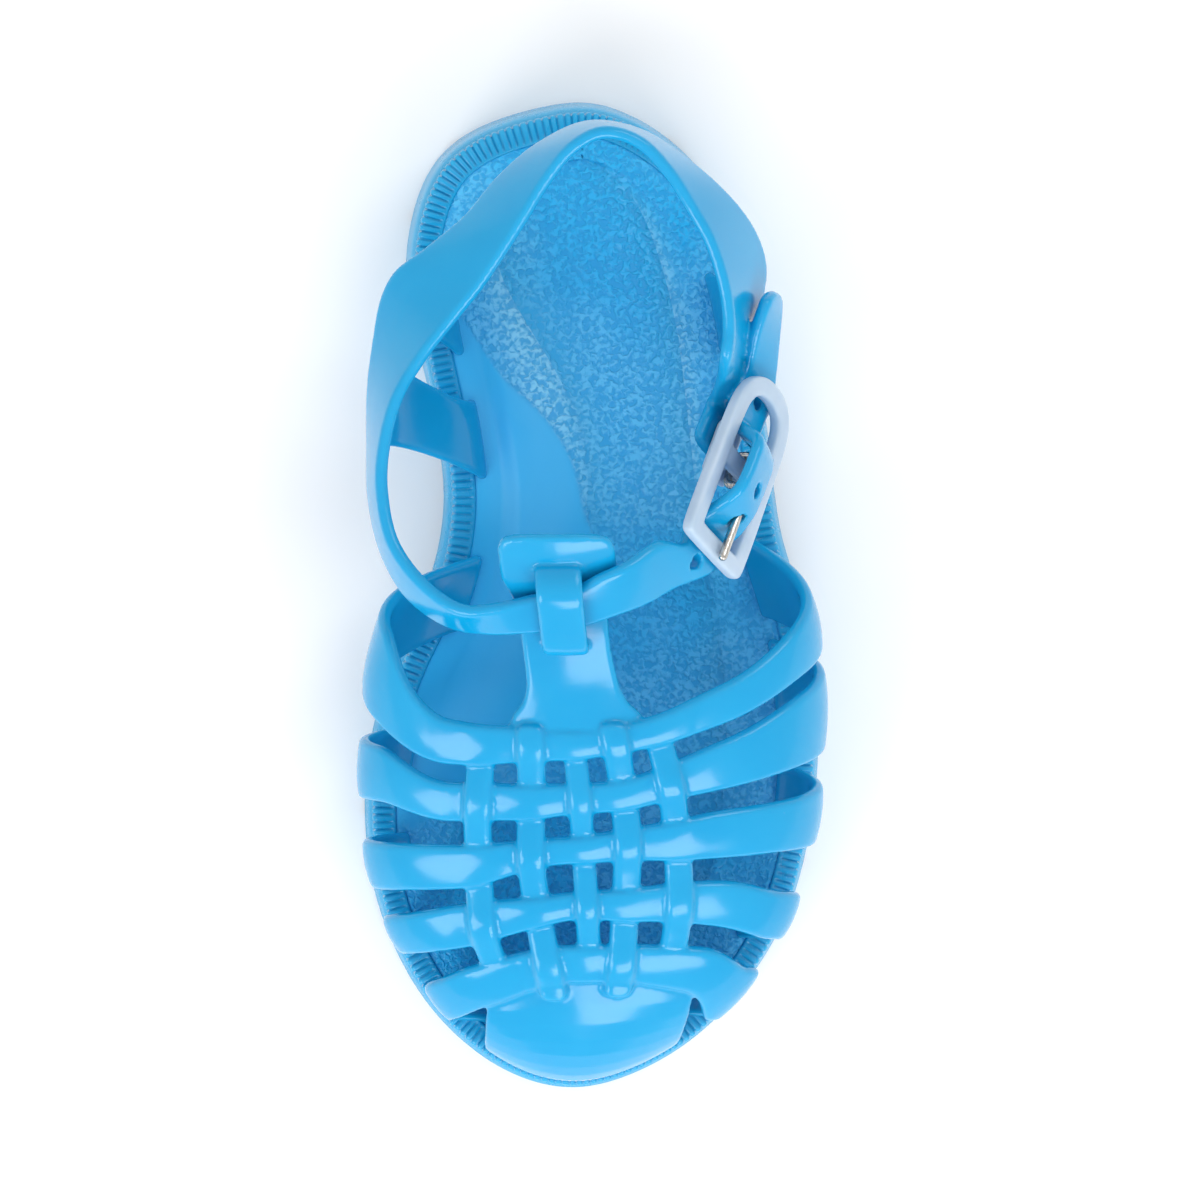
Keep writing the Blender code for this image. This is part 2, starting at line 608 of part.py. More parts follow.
def bar_grid(rows=17, across=5):
    """T-bar and head plate on the crest, rounded across."""
    half = steady_table(T_BAR, 1)
    places = np.linspace(T_BAR[0][0], T_BAR[-1][0], rows)
    grid = np.zeros((rows, across, 3))
    for row, share in enumerate(places):
        y = share * SOLE_LENGTH
        for column, side in enumerate(np.linspace(-1, 1, across)):
            offset = side * float(half(share)) * BALL_WIDTH
            sag = offset ** 2 / (2 * T_BAR_ROUND)
            grid[row, column] = bar_point(y) + np.array([offset, 0, 0]) - bar_normal(y) * sag
    return grid


def keeper_grid(rows=15, across=3):
    """Loop that leaves the head plate, bridges the ankle strap and comes down on the T-bar."""
    grid = np.zeros((rows, across, 3))
    for row, t in enumerate(np.linspace(0, 1, rows)):
        y = (KEEPER_BACK + (KEEPER_FRONT - KEEPER_BACK) * t) * SOLE_LENGTH
        rise = CLEARANCE * 2 + (KEEPER_RISE - CLEARANCE * 2) * (1 - abs(2 * t - 1) ** 6)
        for column, side in enumerate(np.linspace(-1, 1, across)):
            offset = side * KEEPER_WIDTH / 2
            sag = offset ** 2 / (2 * T_BAR_ROUND)
            grid[row, column] = bar_point(y) + np.array([offset, 0, 0]) + bar_normal(y) * (rise - sag)
    return grid


def buckle_frame_axes():
    down = (BUCKLE_DOWN - BUCKLE_ALONG * BUCKLE_DOWN.dot(BUCKLE_ALONG)).normalized()
    outward = down.cross(BUCKLE_ALONG)
    across, along, up = BUCKLE_PLACE
    centre = Vector((across * BALL_WIDTH, along * SOLE_LENGTH, up * CAGE_HEIGHT))
    return centre, BUCKLE_ALONG, down, outward


def in_buckle(along, down, out):
    """World place of a point given along, down and out from the buckle's middle."""
    centre, x_axis, y_axis, z_axis = buckle_frame_axes()
    return np.array(centre + x_axis * along + y_axis * down + z_axis * out)


def route_rows():
    """Upper and lower edge of the whole ankle strap, from its tail through the buckle to the outer tab."""
    scale = np.array([BALL_WIDTH, SOLE_LENGTH, CAGE_HEIGHT])
    rows = [np.array(row) * scale for row in TAIL_ROUTE]
    half = ANKLE_STRAP_WIDTH / 2
    for share, lift in reversed(STRAP_OVER_BUCKLE):
        along, out = share * BUCKLE_LENGTH, lift * STRAP_WALL
        over = max(out, 0.0)
        shift = STRAP_SHIFT * over
        rows.append(np.array([in_buckle(along, -half - shift, out + STRAP_RISE * over),
                              in_buckle(along, half - shift, out - STRAP_DROP * over)]))
    first = len(rows)
    rows += [np.array(row) * scale for row in ANKLE_ROUTE]
    for share, taper in TAB_ROWS:
        half = TAB_WIDTH / 2 * taper
        along = share * BUCKLE_LENGTH
        rows.append(np.array([in_buckle(along, -half, -TAB_DROP), in_buckle(along, half, -TAB_DROP)]))
    return np.array(rows), first


def route_point(curve, steps, row, share):
    """Point of the strap at a row of its route, from the upper edge (0) to the lower edge (1)."""
    place = min(row * steps, len(curve) - 1.001)
    index = int(place)
    part = place - index
    pair = curve[index] * (1 - part) + curve[index + 1] * part
    return pair[0] * (1 - share) + pair[1] * share


def add_ankle_strap(group):
    rows, first = route_rows()
    steps = 12
    flat = smooth_curve(rows.reshape(len(rows), 6), steps=steps)
    curve = flat.reshape(-1, 2, 3)
    middle = curve.mean(axis=1)
    lengths = np.concatenate([[0], np.cumsum(np.linalg.norm(np.diff(middle, axis=0), axis=1))])
    count = int(round(lengths[-1] / STRAP_STEP)) + 1
    even = np.linspace(0, lengths[-1], count)
    edges = np.stack([[np.interp(even, lengths, curve[:, edge, axis]) for axis in range(3)]
                      for edge in range(2)]).transpose(2, 0, 1)
    shares = np.linspace(0, 1, 4)
    grid = edges[:, :1] * (1 - shares)[None, :, None] + edges[:, 1:] * shares[None, :, None]
    add_sheet("ankle_strap", grid, group)
    for name, start, end, toeward, heelward in LEGS:
        add_leg(name, curve, steps, (first + start, first + end), (toeward, heelward), group)


def add_leg(name, curve, steps, rows, roots, group, across=5, down=8):
    """Leg from the strap to the sole: it leaves the strap in line and turns in to its root."""
    outer = "outer" in name
    grid = np.zeros((down, across, 3))
    for row, t in enumerate(np.linspace(0, 1, down)):
        for column, u in enumerate(np.linspace(0, 1, across)):
            pinch = 0.5 + (u - 0.5) * (1 - LEG_PINCH * math.sin(math.pi * t))
            hang = rows[0] + (rows[1] - rows[0]) * pinch
            top = route_point(curve, steps, hang, LEG_REACH)
            way = route_point(curve, steps, hang, 1.0) - route_point(curve, steps, hang, 0.0)
            way /= np.linalg.norm(way)
            y = (roots[0] + (roots[1] - roots[0]) * pinch) * SOLE_LENGTH
            root = np.array([ROOT_SIDES[1 if outer else 0](y), y, rim_top(y) - ROOT_DEPTH])
            start = root + np.array([0, 0, LEG_STRAIGHT * (top[2] - root[2])])
            end = top + way * np.linalg.norm(top - root) * LEG_SWEEP
            weights = bezier_weights(t)
            grid[row, column] = weights[0] * root + weights[1] * start + weights[2] * end + weights[3] * top
    add_sheet(name, grid, group, STRAP_WALL * LEG_WALL)


def build_sole(group, cutters, material):
    top, inner = rim_top, INNER_EDGE
    loops = [
        sole_loop(EDGE_ROUND * 1.4, underside),
        sole_loop(0.0, lambda y: underside(y) + EDGE_ROUND),
        sole_loop(WALL_FLARE + LIP_STEP, lambda y: top(y) - LIP_DEPTH - LIP_STEP / 2),
        sole_loop(WALL_FLARE, lambda y: top(y) - LIP_DEPTH),
        sole_loop(WALL_FLARE, lambda y: top(y) - EDGE_ROUND / 2),
        sole_loop(WALL_FLARE + EDGE_ROUND / 2, top),
        sole_loop(inner, top),
        sole_loop(inner, lambda y: top(y) - RECESS_DEPTH),
    ]
    sole = add_object("sole", loop_mesh("sole", loops), group, material)
    grooves = bmesh.new()
    places = list(np.linspace(-0.39, -0.10, FOREFOOT_GROOVES)) + list(np.linspace(0.245, 0.455, HEEL_GROOVES))
    for share in places:
        y = share * SOLE_LENGTH
        floor = float(underside(y))
        made = bmesh.ops.create_cube(grooves, size=1.0)
        scale = Matrix.Diagonal((BALL_WIDTH * 1.2, GROOVE_WIDTH, GROOVE_DEPTH * 2, 1.0))
        bmesh.ops.transform(grooves, matrix=Matrix.Translation((0, y, floor)) @ scale, verts=made["verts"])
    mesh = bpy.data.meshes.new("tread_grooves")
    grooves.to_mesh(mesh)
    grooves.free()
    cutter = add_object("tread_grooves", mesh, cutters)
    hide_cutter(cutter)
    add_boolean(sole, cutter, "DIFFERENCE")
    return sole


def footbed_height(x, y):
    """Top of the footbed: level with the band at its edge, dished inside it, with the arch pad inside."""
    share = y / SOLE_LENGTH
    inner, outer = side_at(BAND_INNER + CLEARANCE)
    left, right = inner(y), outer(y)
    across = np.clip((x - left) / np.maximum(right - left, 1e-6), 0, 1)
    dish = FOOTBED_DISH * np.clip(4 * across * (1 - across), 0, 1) ** 0.8
    along_pad = bump(share - 0.14, 0.13)
    pad = ARCH_PAD * along_pad * np.clip(1 - across / 0.62, 0, 1) ** 1.2 * np.clip(across * 9, 0, 1)
    return rim_top(y) - dish + pad


def build_footbed(group, material, columns=9):
    inset = BAND_INNER + CLEARANCE
    base = sole_loop(inset, lambda y: rim_top(y) - RECESS_DEPTH + CLEARANCE)
    edge = sole_loop(inset, rim_top)
    count = len(base)
    half = count // 2
    points = [*base, *edge]
    faces = strip_cap(0, half, upward=False)
    for index in range(count):
        ahead = (index + 1) % count
        faces.append((index, ahead, count + ahead, count + index))
    rows = [[count]]
    for index in range(1, half):
        left, right = edge[index], edge[count - index]
        row = [count + index]
        for part in np.linspace(0, 1, columns)[1:-1]:
            x, y = (left + (right - left) * part)[:2]
            row.append(len(points))
            points.append(np.array([x, y, float(footbed_height(x, y))]))
        rows.append(row + [count + count - index])
    rows.append([count + half])
    for here, ahead in zip(rows[:-1], rows[1:]):
        if len(here) == 1:
            faces += [(here[0], ahead[i], ahead[i + 1]) for i in range(len(ahead) - 1)]
        elif len(ahead) == 1:
            faces += [(here[i], ahead[0], here[i + 1]) for i in range(len(here) - 1)]
        else:
            faces += [(here[i], ahead[i], ahead[i + 1], here[i + 1]) for i in range(len(here) - 1)]
    mesh = bpy.data.meshes.new("footbed")
    mesh.from_pydata([tuple(point) for point in points], [], faces)
    return add_object("footbed", mesh, group, material)


def build_band(group, material):
    """Base band of the upper, a closed ring in the sole's recess that all the straps root in."""

    def low(y):
        return rim_top(y) - RECESS_DEPTH + CLEARANCE

    def high(y):
        return rim_top(y) + CLEARANCE

    loops = [sole_loop(BAND_INNER, low), sole_loop(BAND_OUTER, low), sole_loop(BAND_OUTER, high),
             sole_loop(BAND_INNER, high)]
    count = len(loops[0])
    faces = []
    for level in range(4):
        after = (level + 1) % 4
        for index in range(count):
            ahead = (index + 1) % count
            low, high = level * count, after * count
            faces.append((low + index, low + ahead, high + ahead, high + index))
    mesh = bpy.data.meshes.new("upper")
    mesh.from_pydata(np.concatenate(loops).tolist(), [], faces)
    return add_object("upper", mesh, group, material)


def build_upper(group, cutters, material):
    upper = build_band(group, material)
    strips = bpy.data.collections.new("cage_strips")
    cutters.children.link(strips)
    for index, strap in enumerate(STRAPS):
        add_sheet(strap[0], strap_grid(index, strap), strips)
    for column in COLUMNS:
        add_sheet(column[0], column_grid(column), strips)
    add_sheet("toe_cap", cap_grid(), strips)
    add_sheet("toe_shelf", shelf_grid(), strips, CAP_SHELF)
    add_sheet("t_bar", bar_grid(), strips, STRAP_WALL * T_BAR_WALL)
    add_sheet("keeper", keeper_grid(), strips)
    add_ankle_strap(strips)
    add_boolean(upper, strips, "UNION")
    return upper


def buckle_matrix(along=0.0, down=0.0, out=0.0):
    centre, x_axis, y_axis, z_axis = buckle_frame_axes()
    place = centre + x_axis * along + y_axis * down + z_axis * out
    turn = Matrix((x_axis, y_axis, z_axis)).transposed().to_4x4()
    return Matrix.Translation(place) @ turn


def flat_outline(name, loops, thickness, group, material, matrix, edge):
    """Plate with an even edge round from closed outlines: the first is its rim, the others are its holes."""
    curve = bpy.data.curves.new(name, "CURVE")
    curve.dimensions = "2D"
    curve.fill_mode = "BOTH"
    curve.extrude = thickness / 2
    for loop in loops:
        spline = curve.splines.new("POLY")
        spline.points.add(len(loop) - 1)
        places = np.column_stack([loop, np.zeros(len(loop)), np.ones(len(loop))])
        spline.points.foreach_set("co", places.ravel())
        spline.use_cyclic_u = True
    plate = add_object(name, curve, group, material)
    plate.matrix_world = matrix
    weld = plate.modifiers.new("weld", "WELD")
    weld.merge_threshold = 0.00001
    if edge:
        bevel = plate.modifiers.new("edge", "BEVEL")
        bevel.width = edge
        bevel.segments = 1
        bevel.limit_method = "ANGLE"
        bevel.angle_limit = math.radians(50)
    return plate


def offset_loop(loop, distance):
    """Closed outline, counterclockwise, moved inwards by a distance."""
    ahead = np.roll(loop, -1, axis=0) - np.roll(loop, 1, axis=0)
    ahead /= np.linalg.norm(ahead, axis=1)[:, None]
    return loop + np.column_stack([-ahead[:, 1], ahead[:, 0]]) * distance


def window_loop(inner, start, end):
    """Part of the frame's inner outline between two places along it, closed straight across."""
    kept = inner[(inner[:, 0] > start) & (inner[:, 0] < end)]
    upper = kept[kept[:, 1] > 0]
    lower = kept[kept[:, 1] <= 0]
    upper = upper[np.argsort(-upper[:, 0])]
    lower = lower[np.argsort(lower[:, 0])]
    half = np.array([np.interp(place, np.sort(upper[:, 0]), upper[::-1, 1]) for place in (start, end)])
    loop = [*upper, *lower]
    if start > inner[:, 0].min():
        loop = [*upper, (start, half[0]), (start, -half[0]), *lower]
    if end < inner[:, 0].max():
        loop = [(end, half[1]), *loop, (end, -half[1])]
    return np.array(loop)


def build_buckle(group, cutters, milky, steel):
    size = (BUCKLE_LENGTH, BUCKLE_WIDTH)
    outer = smooth_curve(BUCKLE_OUTLINE, closed=True, steps=2) * size
    inner = smooth_curve(offset_loop(np.array(BUCKLE_OUTLINE) * size, BUCKLE_BAR), closed=True, steps=2)
    windows = [window_loop(inner, -BUCKLE_LENGTH, -WEB_WIDTH / 2),
               window_loop(inner, WEB_WIDTH / 2, BUCKLE_LENGTH)]
    flat_outline("buckle_frame", [outer, *windows], BUCKLE_THICKNESS, group, milky, buckle_matrix(),
                 EDGE_ROUND * 0.6)
    add_prong(group, steel)
    add_plate(group, cutters, milky)


def add_prong(group, material):
    """Wire that loops round the web and lies forward over the front bar."""
    radius = PRONG_DIAMETER / 2
    reach = WEB_WIDTH / 2 + CLEARANCE + radius
    rise = BUCKLE_THICKNESS / 2 + CLEARANCE + radius
    path = ((-reach, -0.2 * rise), (-reach * 0.88, -rise * 0.75), (-reach * 0.4, -rise), (reach * 0.4, -rise),
            (reach * 0.86, -rise * 0.78), (reach, -rise * 0.2), (reach, rise * 0.35), (reach * 0.8, rise * 0.85),
            (reach * 0.35, rise), (-reach, rise), (-BUCKLE_LENGTH * 0.25, rise), (-BUCKLE_LENGTH * 0.40, rise),
            (-BUCKLE_LENGTH * PRONG_REACH, rise))
    curve = bpy.data.curves.new("buckle_prong", "CURVE")
    curve.dimensions = "3D"
    curve.bevel_depth = radius
    curve.bevel_resolution = 2
    curve.use_fill_caps = True
    spline = curve.splines.new("POLY")
    spline.points.add(len(path) - 1)
    for point, (along, out) in zip(spline.points, path):
        point.co = (along, 0.0, out, 1.0)
    prong = add_object("buckle_prong", curve, group, material)
    prong.matrix_world = buckle_matrix(down=PRONG_SIDE * BUCKLE_WIDTH)
    return prong


def box_mesh(name, boxes):
    """Separate boxes given by their middle and size."""
    work = bmesh.new()
    for middle, size in boxes:
        made = bmesh.ops.create_cube(work, size=1.0)
        place = Matrix.Translation(middle) @ Matrix.Diagonal((*size, 1.0))
        bmesh.ops.transform(work, matrix=place, verts=made["verts"])
    mesh = bpy.data.meshes.new(name)
    work.to_mesh(mesh)
    work.free()
    return mesh


def add_cylinder(name, radius, depth, matrix, group, sides=16):
    work = bmesh.new()
    bmesh.ops.create_cone(work, cap_ends=True, segments=sides, radius1=radius, radius2=radius, depth=depth)
    mesh = bpy.data.meshes.new(name)
    work.to_mesh(mesh)
    work.free()
    cylinder = add_object(name, mesh, group)
    cylinder.matrix_world = matrix
    hide_cutter(cylinder)
    return cylinder


def plate_level():
    """Height of the plate's middle over the buckle's middle plane: just above the tab."""
    return -TAB_DROP + STRAP_WALL / 2 + CLEARANCE + PLATE_THICKNESS / 2


def add_plate(group, cutters, material):
    """Plate between the buckle and the tab, with two lugs up to the web and a rivet through the tab."""
    level = plate_level()
    half = np.array([PLATE_LENGTH, PLATE_WIDTH]) / 2
    corners = np.array([(1, 0.5), (0.86, 0.86), (0.5, 1), (-1, 1), (-1, -1), (0.5, -1), (0.86, -0.86), (1, -0.5)])
    shape = corners * half + (PLATE_LENGTH / 2 - WEB_WIDTH / 2, 0.0)
    plate = flat_outline("buckle_plate", [shape], PLATE_THICKNESS, group, material, buckle_matrix(out=level), 0.0)
    plate = mesh_from_curve(plate, group, material)
    parts = bpy.data.collections.new("plate_parts")
    cutters.children.link(parts)
    top = -BUCKLE_THICKNESS / 2 - CLEARANCE
    bottom = level + PLATE_THICKNESS / 4
    lug = (WEB_WIDTH * 0.8, PLATE_WIDTH * 0.22, top - bottom)
    boxes = [((0.0, side * PLATE_WIDTH * 0.36, (top + bottom) / 2), lug) for side in (-1, 1)]
    lugs = add_object("web_lugs", box_mesh("web_lugs", boxes), parts)
    lugs.matrix_world = buckle_matrix()
    hide_cutter(lugs)
    under = -TAB_DROP - STRAP_WALL / 2 - CLEARANCE
    head = PLATE_THICKNESS * 0.8
    shank_top = level - PLATE_THICKNESS / 4
    shank_end = under - head / 2
    at = RIVET_PLACE * BUCKLE_LENGTH
    add_cylinder("rivet_shank", RIVET_DIAMETER / 2, shank_top - shank_end,
                 buckle_matrix(at, 0.0, (shank_top + shank_end) / 2), parts)
    add_cylinder("rivet_head", RIVET_HEAD / 2, head, buckle_matrix(at, 0.0, under - head / 2), parts)
    add_boolean(plate, parts, "UNION")
    return plate


def mesh_from_curve(thing, group, material):
    """Mesh object in place of a curve object, with its near-coincident points merged."""
    bpy.context.view_layer.update()
    mesh = bpy.data.meshes.new_from_object(thing.evaluated_get(bpy.context.evaluated_depsgraph_get()))
    name, matrix = thing.name, thing.matrix_world.copy()
    bpy.data.objects.remove(thing, do_unlink=True)
    work = bmesh.new()
    work.from_mesh(mesh)
    bmesh.ops.remove_doubles(work, verts=work.verts, dist=0.00001)
    bmesh.ops.recalc_face_normals(work, faces=work.faces)
    work.to_mesh(mesh)
    work.free()
    mesh.materials.clear()
    mesh.name = name
    made = add_object(name, mesh, group, material)
    made.matrix_world = matrix
    return made


def cut_strap_holes(upper, cutters):
    """Adjusting holes in the strap, the prong's way through it, and the rivet's hole in the tab."""
    holes = bpy.data.collections.new("strap_holes")
    cutters.children.link(holes)
    depth = STRAP_WALL * 1.7
    for index, (along, down, level) in enumerate(STRAP_HOLES):
        matrix = buckle_matrix(along * BUCKLE_LENGTH, down * BUCKLE_WIDTH, level * STRAP_WALL)
        add_cylinder(f"strap_hole_{index + 1}", STRAP_HOLE / 2, depth, matrix, holes, 12)
    rise = BUCKLE_THICKNESS / 2 + CLEARANCE + PRONG_DIAMETER / 2
    middle = buckle_matrix(-BUCKLE_LENGTH * 0.27, PRONG_SIDE * BUCKLE_WIDTH, rise)
    add_cylinder("prong_way", PRONG_DIAMETER / 2 + CLEARANCE * 1.2, BUCKLE_LENGTH * 0.26,
                 middle @ Matrix.Rotation(math.radians(90), 4, "Y"), holes, 12)
    add_cylinder("rivet_hole", RIVET_DIAMETER / 2 + CLEARANCE, STRAP_WALL * 2,
                 buckle_matrix(RIVET_PLACE * BUCKLE_LENGTH, 0.0, -TAB_DROP), holes)
    add_boolean(upper, holes, "DIFFERENCE")


def build_all():
    clear_scene()
    sandal = make_collection("jelly_sandal")
    cutters = make_collection("cutters")
    blue = (0.02, 0.40, 0.79)
    build_sole(sandal, cutters, make_material("sole_plastic", blue, 0.30))
    build_footbed(sandal, make_material("footbed_plastic", blue, 0.45))
    upper = build_upper(sandal, cutters, make_material("upper_plastic", blue, 0.18))
    cut_strap_holes(upper, cutters)
    milky = make_material("buckle_plastic", (0.80, 0.86, 0.92), 0.30, transmission=0.3)
    build_buckle(sandal, cutters, milky, make_material("prong_steel", (0.62, 0.61, 0.58), 0.25, metallic=1.0))


build_all()
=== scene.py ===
import math

import bmesh
import bpy
import numpy as np
from mathutils import Matrix, Vector


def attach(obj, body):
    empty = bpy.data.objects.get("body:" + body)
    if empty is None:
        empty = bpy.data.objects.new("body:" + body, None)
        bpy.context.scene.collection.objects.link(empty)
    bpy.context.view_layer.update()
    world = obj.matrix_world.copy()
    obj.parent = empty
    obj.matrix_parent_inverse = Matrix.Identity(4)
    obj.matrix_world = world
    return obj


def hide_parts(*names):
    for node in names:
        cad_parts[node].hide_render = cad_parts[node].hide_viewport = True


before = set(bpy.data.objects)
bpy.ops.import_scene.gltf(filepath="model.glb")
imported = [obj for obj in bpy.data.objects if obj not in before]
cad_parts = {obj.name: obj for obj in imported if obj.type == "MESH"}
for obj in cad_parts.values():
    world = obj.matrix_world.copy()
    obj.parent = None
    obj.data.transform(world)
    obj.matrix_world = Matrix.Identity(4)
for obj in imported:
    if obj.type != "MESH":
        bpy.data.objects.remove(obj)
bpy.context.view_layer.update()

print("frame loaded: nodes", sorted(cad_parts))

# The whole shoe, in metres. Toe to -Y, outer side of the foot to +X, floor at z = 0.
shoe = {
    "length": 0.156,
    "ballWidth": 0.072,
    "cageHeight": 0.060,
    "wall": 0.0019,
    "clearance": 0.0003,
}
soleLength, ballWidth, cageHeight = shoe["length"], shoe["ballWidth"], shoe["cageHeight"]
wall, clearance = shoe["wall"], shoe["clearance"]

sole = {
    "forefootRim": 0.0100,
    "heelRim": 0.0172,
    "toeRimRise": 0.0022,
    "toeSpring": 0.0046,
    "archRise": 0.0032,
    "wallFlare": 0.0012,
    "lipStep": 0.0008,
    "lipDepth": 0.0030,
    "rimWidth": 0.0038,
    "bandWidth": 0.0030,
    "recessDepth": 0.0030,
    "edgeRound": 0.0008,
    "grooveWidth": 0.0018,
    "grooveDepth": 0.0012,
    "forefootGrooves": (-0.39, -0.10, 6),   # first and last as shares of the length, and how many
    "heelGrooves": (0.245, 0.455, 4),
    "ribPitch": 0.00122,
    "ribDepth": 0.00042,
    "ribGap": 0.42,           # width of a groove between two ribs, as a share of the pitch
    "ribEnd": 0.0006,         # plain edge that the ribs leave at the recess
    "stations": 1000,
}
# Outline at the floor: across as a share of the ball width, along as a share of the length
outlinePoints = (
    (-0.052, 0.500), (-0.252, 0.474), (-0.360, 0.427), (-0.406, 0.346), (-0.383, 0.263), (-0.340, 0.167),
    (-0.327, 0.090), (-0.362, 0.013), (-0.452, -0.083), (-0.500, -0.192), (-0.476, -0.308), (-0.372, -0.410),
    (-0.212, -0.4775), (-0.031, -0.500), (0.163, -0.470), (0.323, -0.407), (0.4465, -0.309), (0.500, -0.173),
    (0.474, -0.032), (0.413, 0.0705), (0.383, 0.1795), (0.355, 0.288), (0.302, 0.375), (0.219, 0.442),
    (0.087, 0.487),
)
# Heights of the sole: along, share of the toe spring, share of the arch rise, share of the heel lift
soleHeights = (
    (-0.50, 1.00, 0.0, 0.00), (-0.42, 0.52, 0.0, 0.00), (-0.33, 0.15, 0.0, 0.00), (-0.25, 0.00, 0.0, 0.00),
    (-0.13, 0.00, 0.0, 0.04), (-0.04, 0.00, 0.6, 0.20), (0.06, 0.00, 1.0, 0.42), (0.14, 0.00, 0.9, 0.62),
    (0.20, 0.00, 0.0, 0.76), (0.36, 0.00, 0.0, 0.92), (0.50, 0.00, 0.0, 1.00),
)


def throughPoints(points, closed=False, steps=24):
    # Catmull-Rom: between two points a cubic whose slope at each point is half the way between its neighbours
    p = np.asarray(points, float)
    if closed:
        ring = np.concatenate([p[-1:], p, p[:2]])
    else:
        ring = np.concatenate([2 * p[:1] - p[1:2], p, 2 * p[-1:] - p[-2:-1]])
    before, start, end, after = (part[:, None, :] for part in (ring[:-3], ring[1:-2], ring[2:-1], ring[3:]))
    t = np.linspace(0.0, 1.0, steps, endpoint=False)[None, :, None]
    curve = 0.5 * (2 * start + (end - before) * t + (2 * before - 5 * start + 4 * end - after) * t ** 2
                   + (3 * start - before - 3 * end + after) * t ** 3)
    curve = curve.reshape(-1, p.shape[1])
    return curve if closed else np.vstack([curve, p[-1:]])


def steadyTable(rows, column=1):
    # Cubic through a table's rows that never swings past them: its slope at a row is the harmonic mean
    rows = np.asarray([[row[0], row[column]] for row in rows], float)
    x, y = rows[:, 0], rows[:, 1]
    slopes = np.diff(y) / np.diff(x)
    tangents = np.zeros(len(x))
    sameWay = slopes[:-1] * slopes[1:] > 0
    before, after = slopes[:-1][sameWay], slopes[1:][sameWay]
    tangents[1:-1][sameWay] = 2 * before * after / (before + after)
    tangents[0], tangents[-1] = slopes[0], slopes[-1]

    def value(at):
        at = np.clip(np.asarray(at, float), x[0], x[-1])
        index = np.clip(np.searchsorted(x, at, side="right") - 1, 0, len(x) - 2)
        span = x[index + 1] - x[index]
        t = (at - x[index]) / span
        return ((1 + 2 * t) * (1 - t) ** 2 * y[index] + t * (1 - t) ** 2 * span * tangents[index]
                + t ** 2 * (3 - 2 * t) * y[index + 1] + t ** 2 * (t - 1) * span * tangents[index + 1])

    return value


def smoothStep(low, high, value):
    t = np.clip((value - low) / (high - low), 0, 1)
    return t * t * (3 - 2 * t)


def bump(distance, reach):
    return np.exp(-(distance / reach) ** 2)


def bezierWeights(t):
    return (1 - t) ** 3, 3 * (1 - t) ** 2 * t, 3 * (1 - t) * t ** 2, t ** 3


def unit(vectors):
    return vectors / np.maximum(np.linalg.norm(vectors, axis=-1, keepdims=True), 1e-12)


def blend(first, second, share):
    return first * (1 - share) + second * share


def partWay(pair, share):
    return pair[0] + (pair[1] - pair[0]) * share


def runAlong(points):
    # Length of the way from the first point to each of them
    return np.concatenate([[0], np.cumsum(np.linalg.norm(np.diff(points, axis=0), axis=1))])


springShare = steadyTable(soleHeights, 1)
archShare = steadyTable(soleHeights, 2)
heelShare = steadyTable(soleHeights, 3)


def underside(y):
    return springShare(y / soleLength) * sole["toeSpring"] + archShare(y / soleLength) * sole["archRise"]


def rimTop(y):
    share = y / soleLength
    lift = heelShare(share) * (sole["heelRim"] - sole["forefootRim"])
    return sole["forefootRim"] + lift + springShare(share) * sole["toeRimRise"]


denseOutline = throughPoints(outlinePoints, closed=True, steps=80) * (ballWidth, soleLength)
denseOutline -= (denseOutline.max(axis=0) + denseOutline.min(axis=0)) / 2
denseOutline = np.roll(denseOutline, -int(np.argmax(denseOutline[:, 1])), axis=0)
outlineRun = unit(np.roll(denseOutline, -1, axis=0) - np.roll(denseOutline, 1, axis=0))
denseInward = np.stack([-outlineRun[:, 1], outlineRun[:, 0]], axis=1)

innerEdge = sole["wallFlare"] + sole["rimWidth"]
bandOuter = innerEdge + clearance
bandInner = bandOuter + sole["bandWidth"]
rootInset = bandOuter + 0.25 * sole["bandWidth"]
rootDepth = 0.25 * sole["recessDepth"]
rootRise = 0.0005


def stationRing(count):
    # Stations round the sole, even on the inner side, each with a partner straight across on the outer side
    toe = int(np.argmin(denseOutline[:, 1]))
    sides = np.hstack([denseOutline, denseInward])
    inner = sides[:toe + 1]
    outer = np.vstack([sides[toe:], sides[:1]])
    run = runAlong(inner[:, :2])
    even = np.linspace(0, run[-1], count + 1)
    first = np.stack([np.interp(even, run, inner[:, k]) for k in range(4)], axis=1)
    second = np.stack([np.interp(first[1:-1, 1], outer[:, 1], outer[:, k]) for k in range(4)], axis=1)
    ring = np.vstack([first, second[::-1]])
    return ring[:, :2], unit(ring[:, 2:])


def sideAt(inset):
    # Inner and outer edge across, at a place along, of the outline moved inwards by an inset
    ring = denseOutline + denseInward * inset
    ring = np.roll(ring, -int(np.argmax(ring[:, 1])), axis=0)
    toe = int(np.argmin(ring[:, 1]))
    inner, outer = ring[:toe + 1][::-1], ring[toe:]

    def edges(y):
        return np.interp(y, inner[:, 1], inner[:, 0]), np.interp(y, outer[:, 1], outer[:, 0])

    return edges


rootSides = sideAt(rootInset)
soleSides = sideAt(0.0)


def gridFaces(rows, columns, wrapColumns=False, wrapRows=False):
    # Quads between neighbouring rows and columns of a grid of points numbered row by row
    row = np.arange(rows if wrapRows else rows - 1)[:, None]
    column = np.arange(columns if wrapColumns else columns - 1)[None, :]
    nextRow, nextColumn = (row + 1) % rows, (column + 1) % columns
    corners = (row * columns + column, row * columns + nextColumn, nextRow * columns + nextColumn,
               nextRow * columns + column)
    return np.stack(corners, axis=-1).reshape(-1, 4)


def meshFrom(name, points, faces):
    mesh = bpy.data.meshes.new(name)
    mesh.from_pydata(np.asarray(points).reshape(-1, 3).tolist(), [], faces)
    return mesh


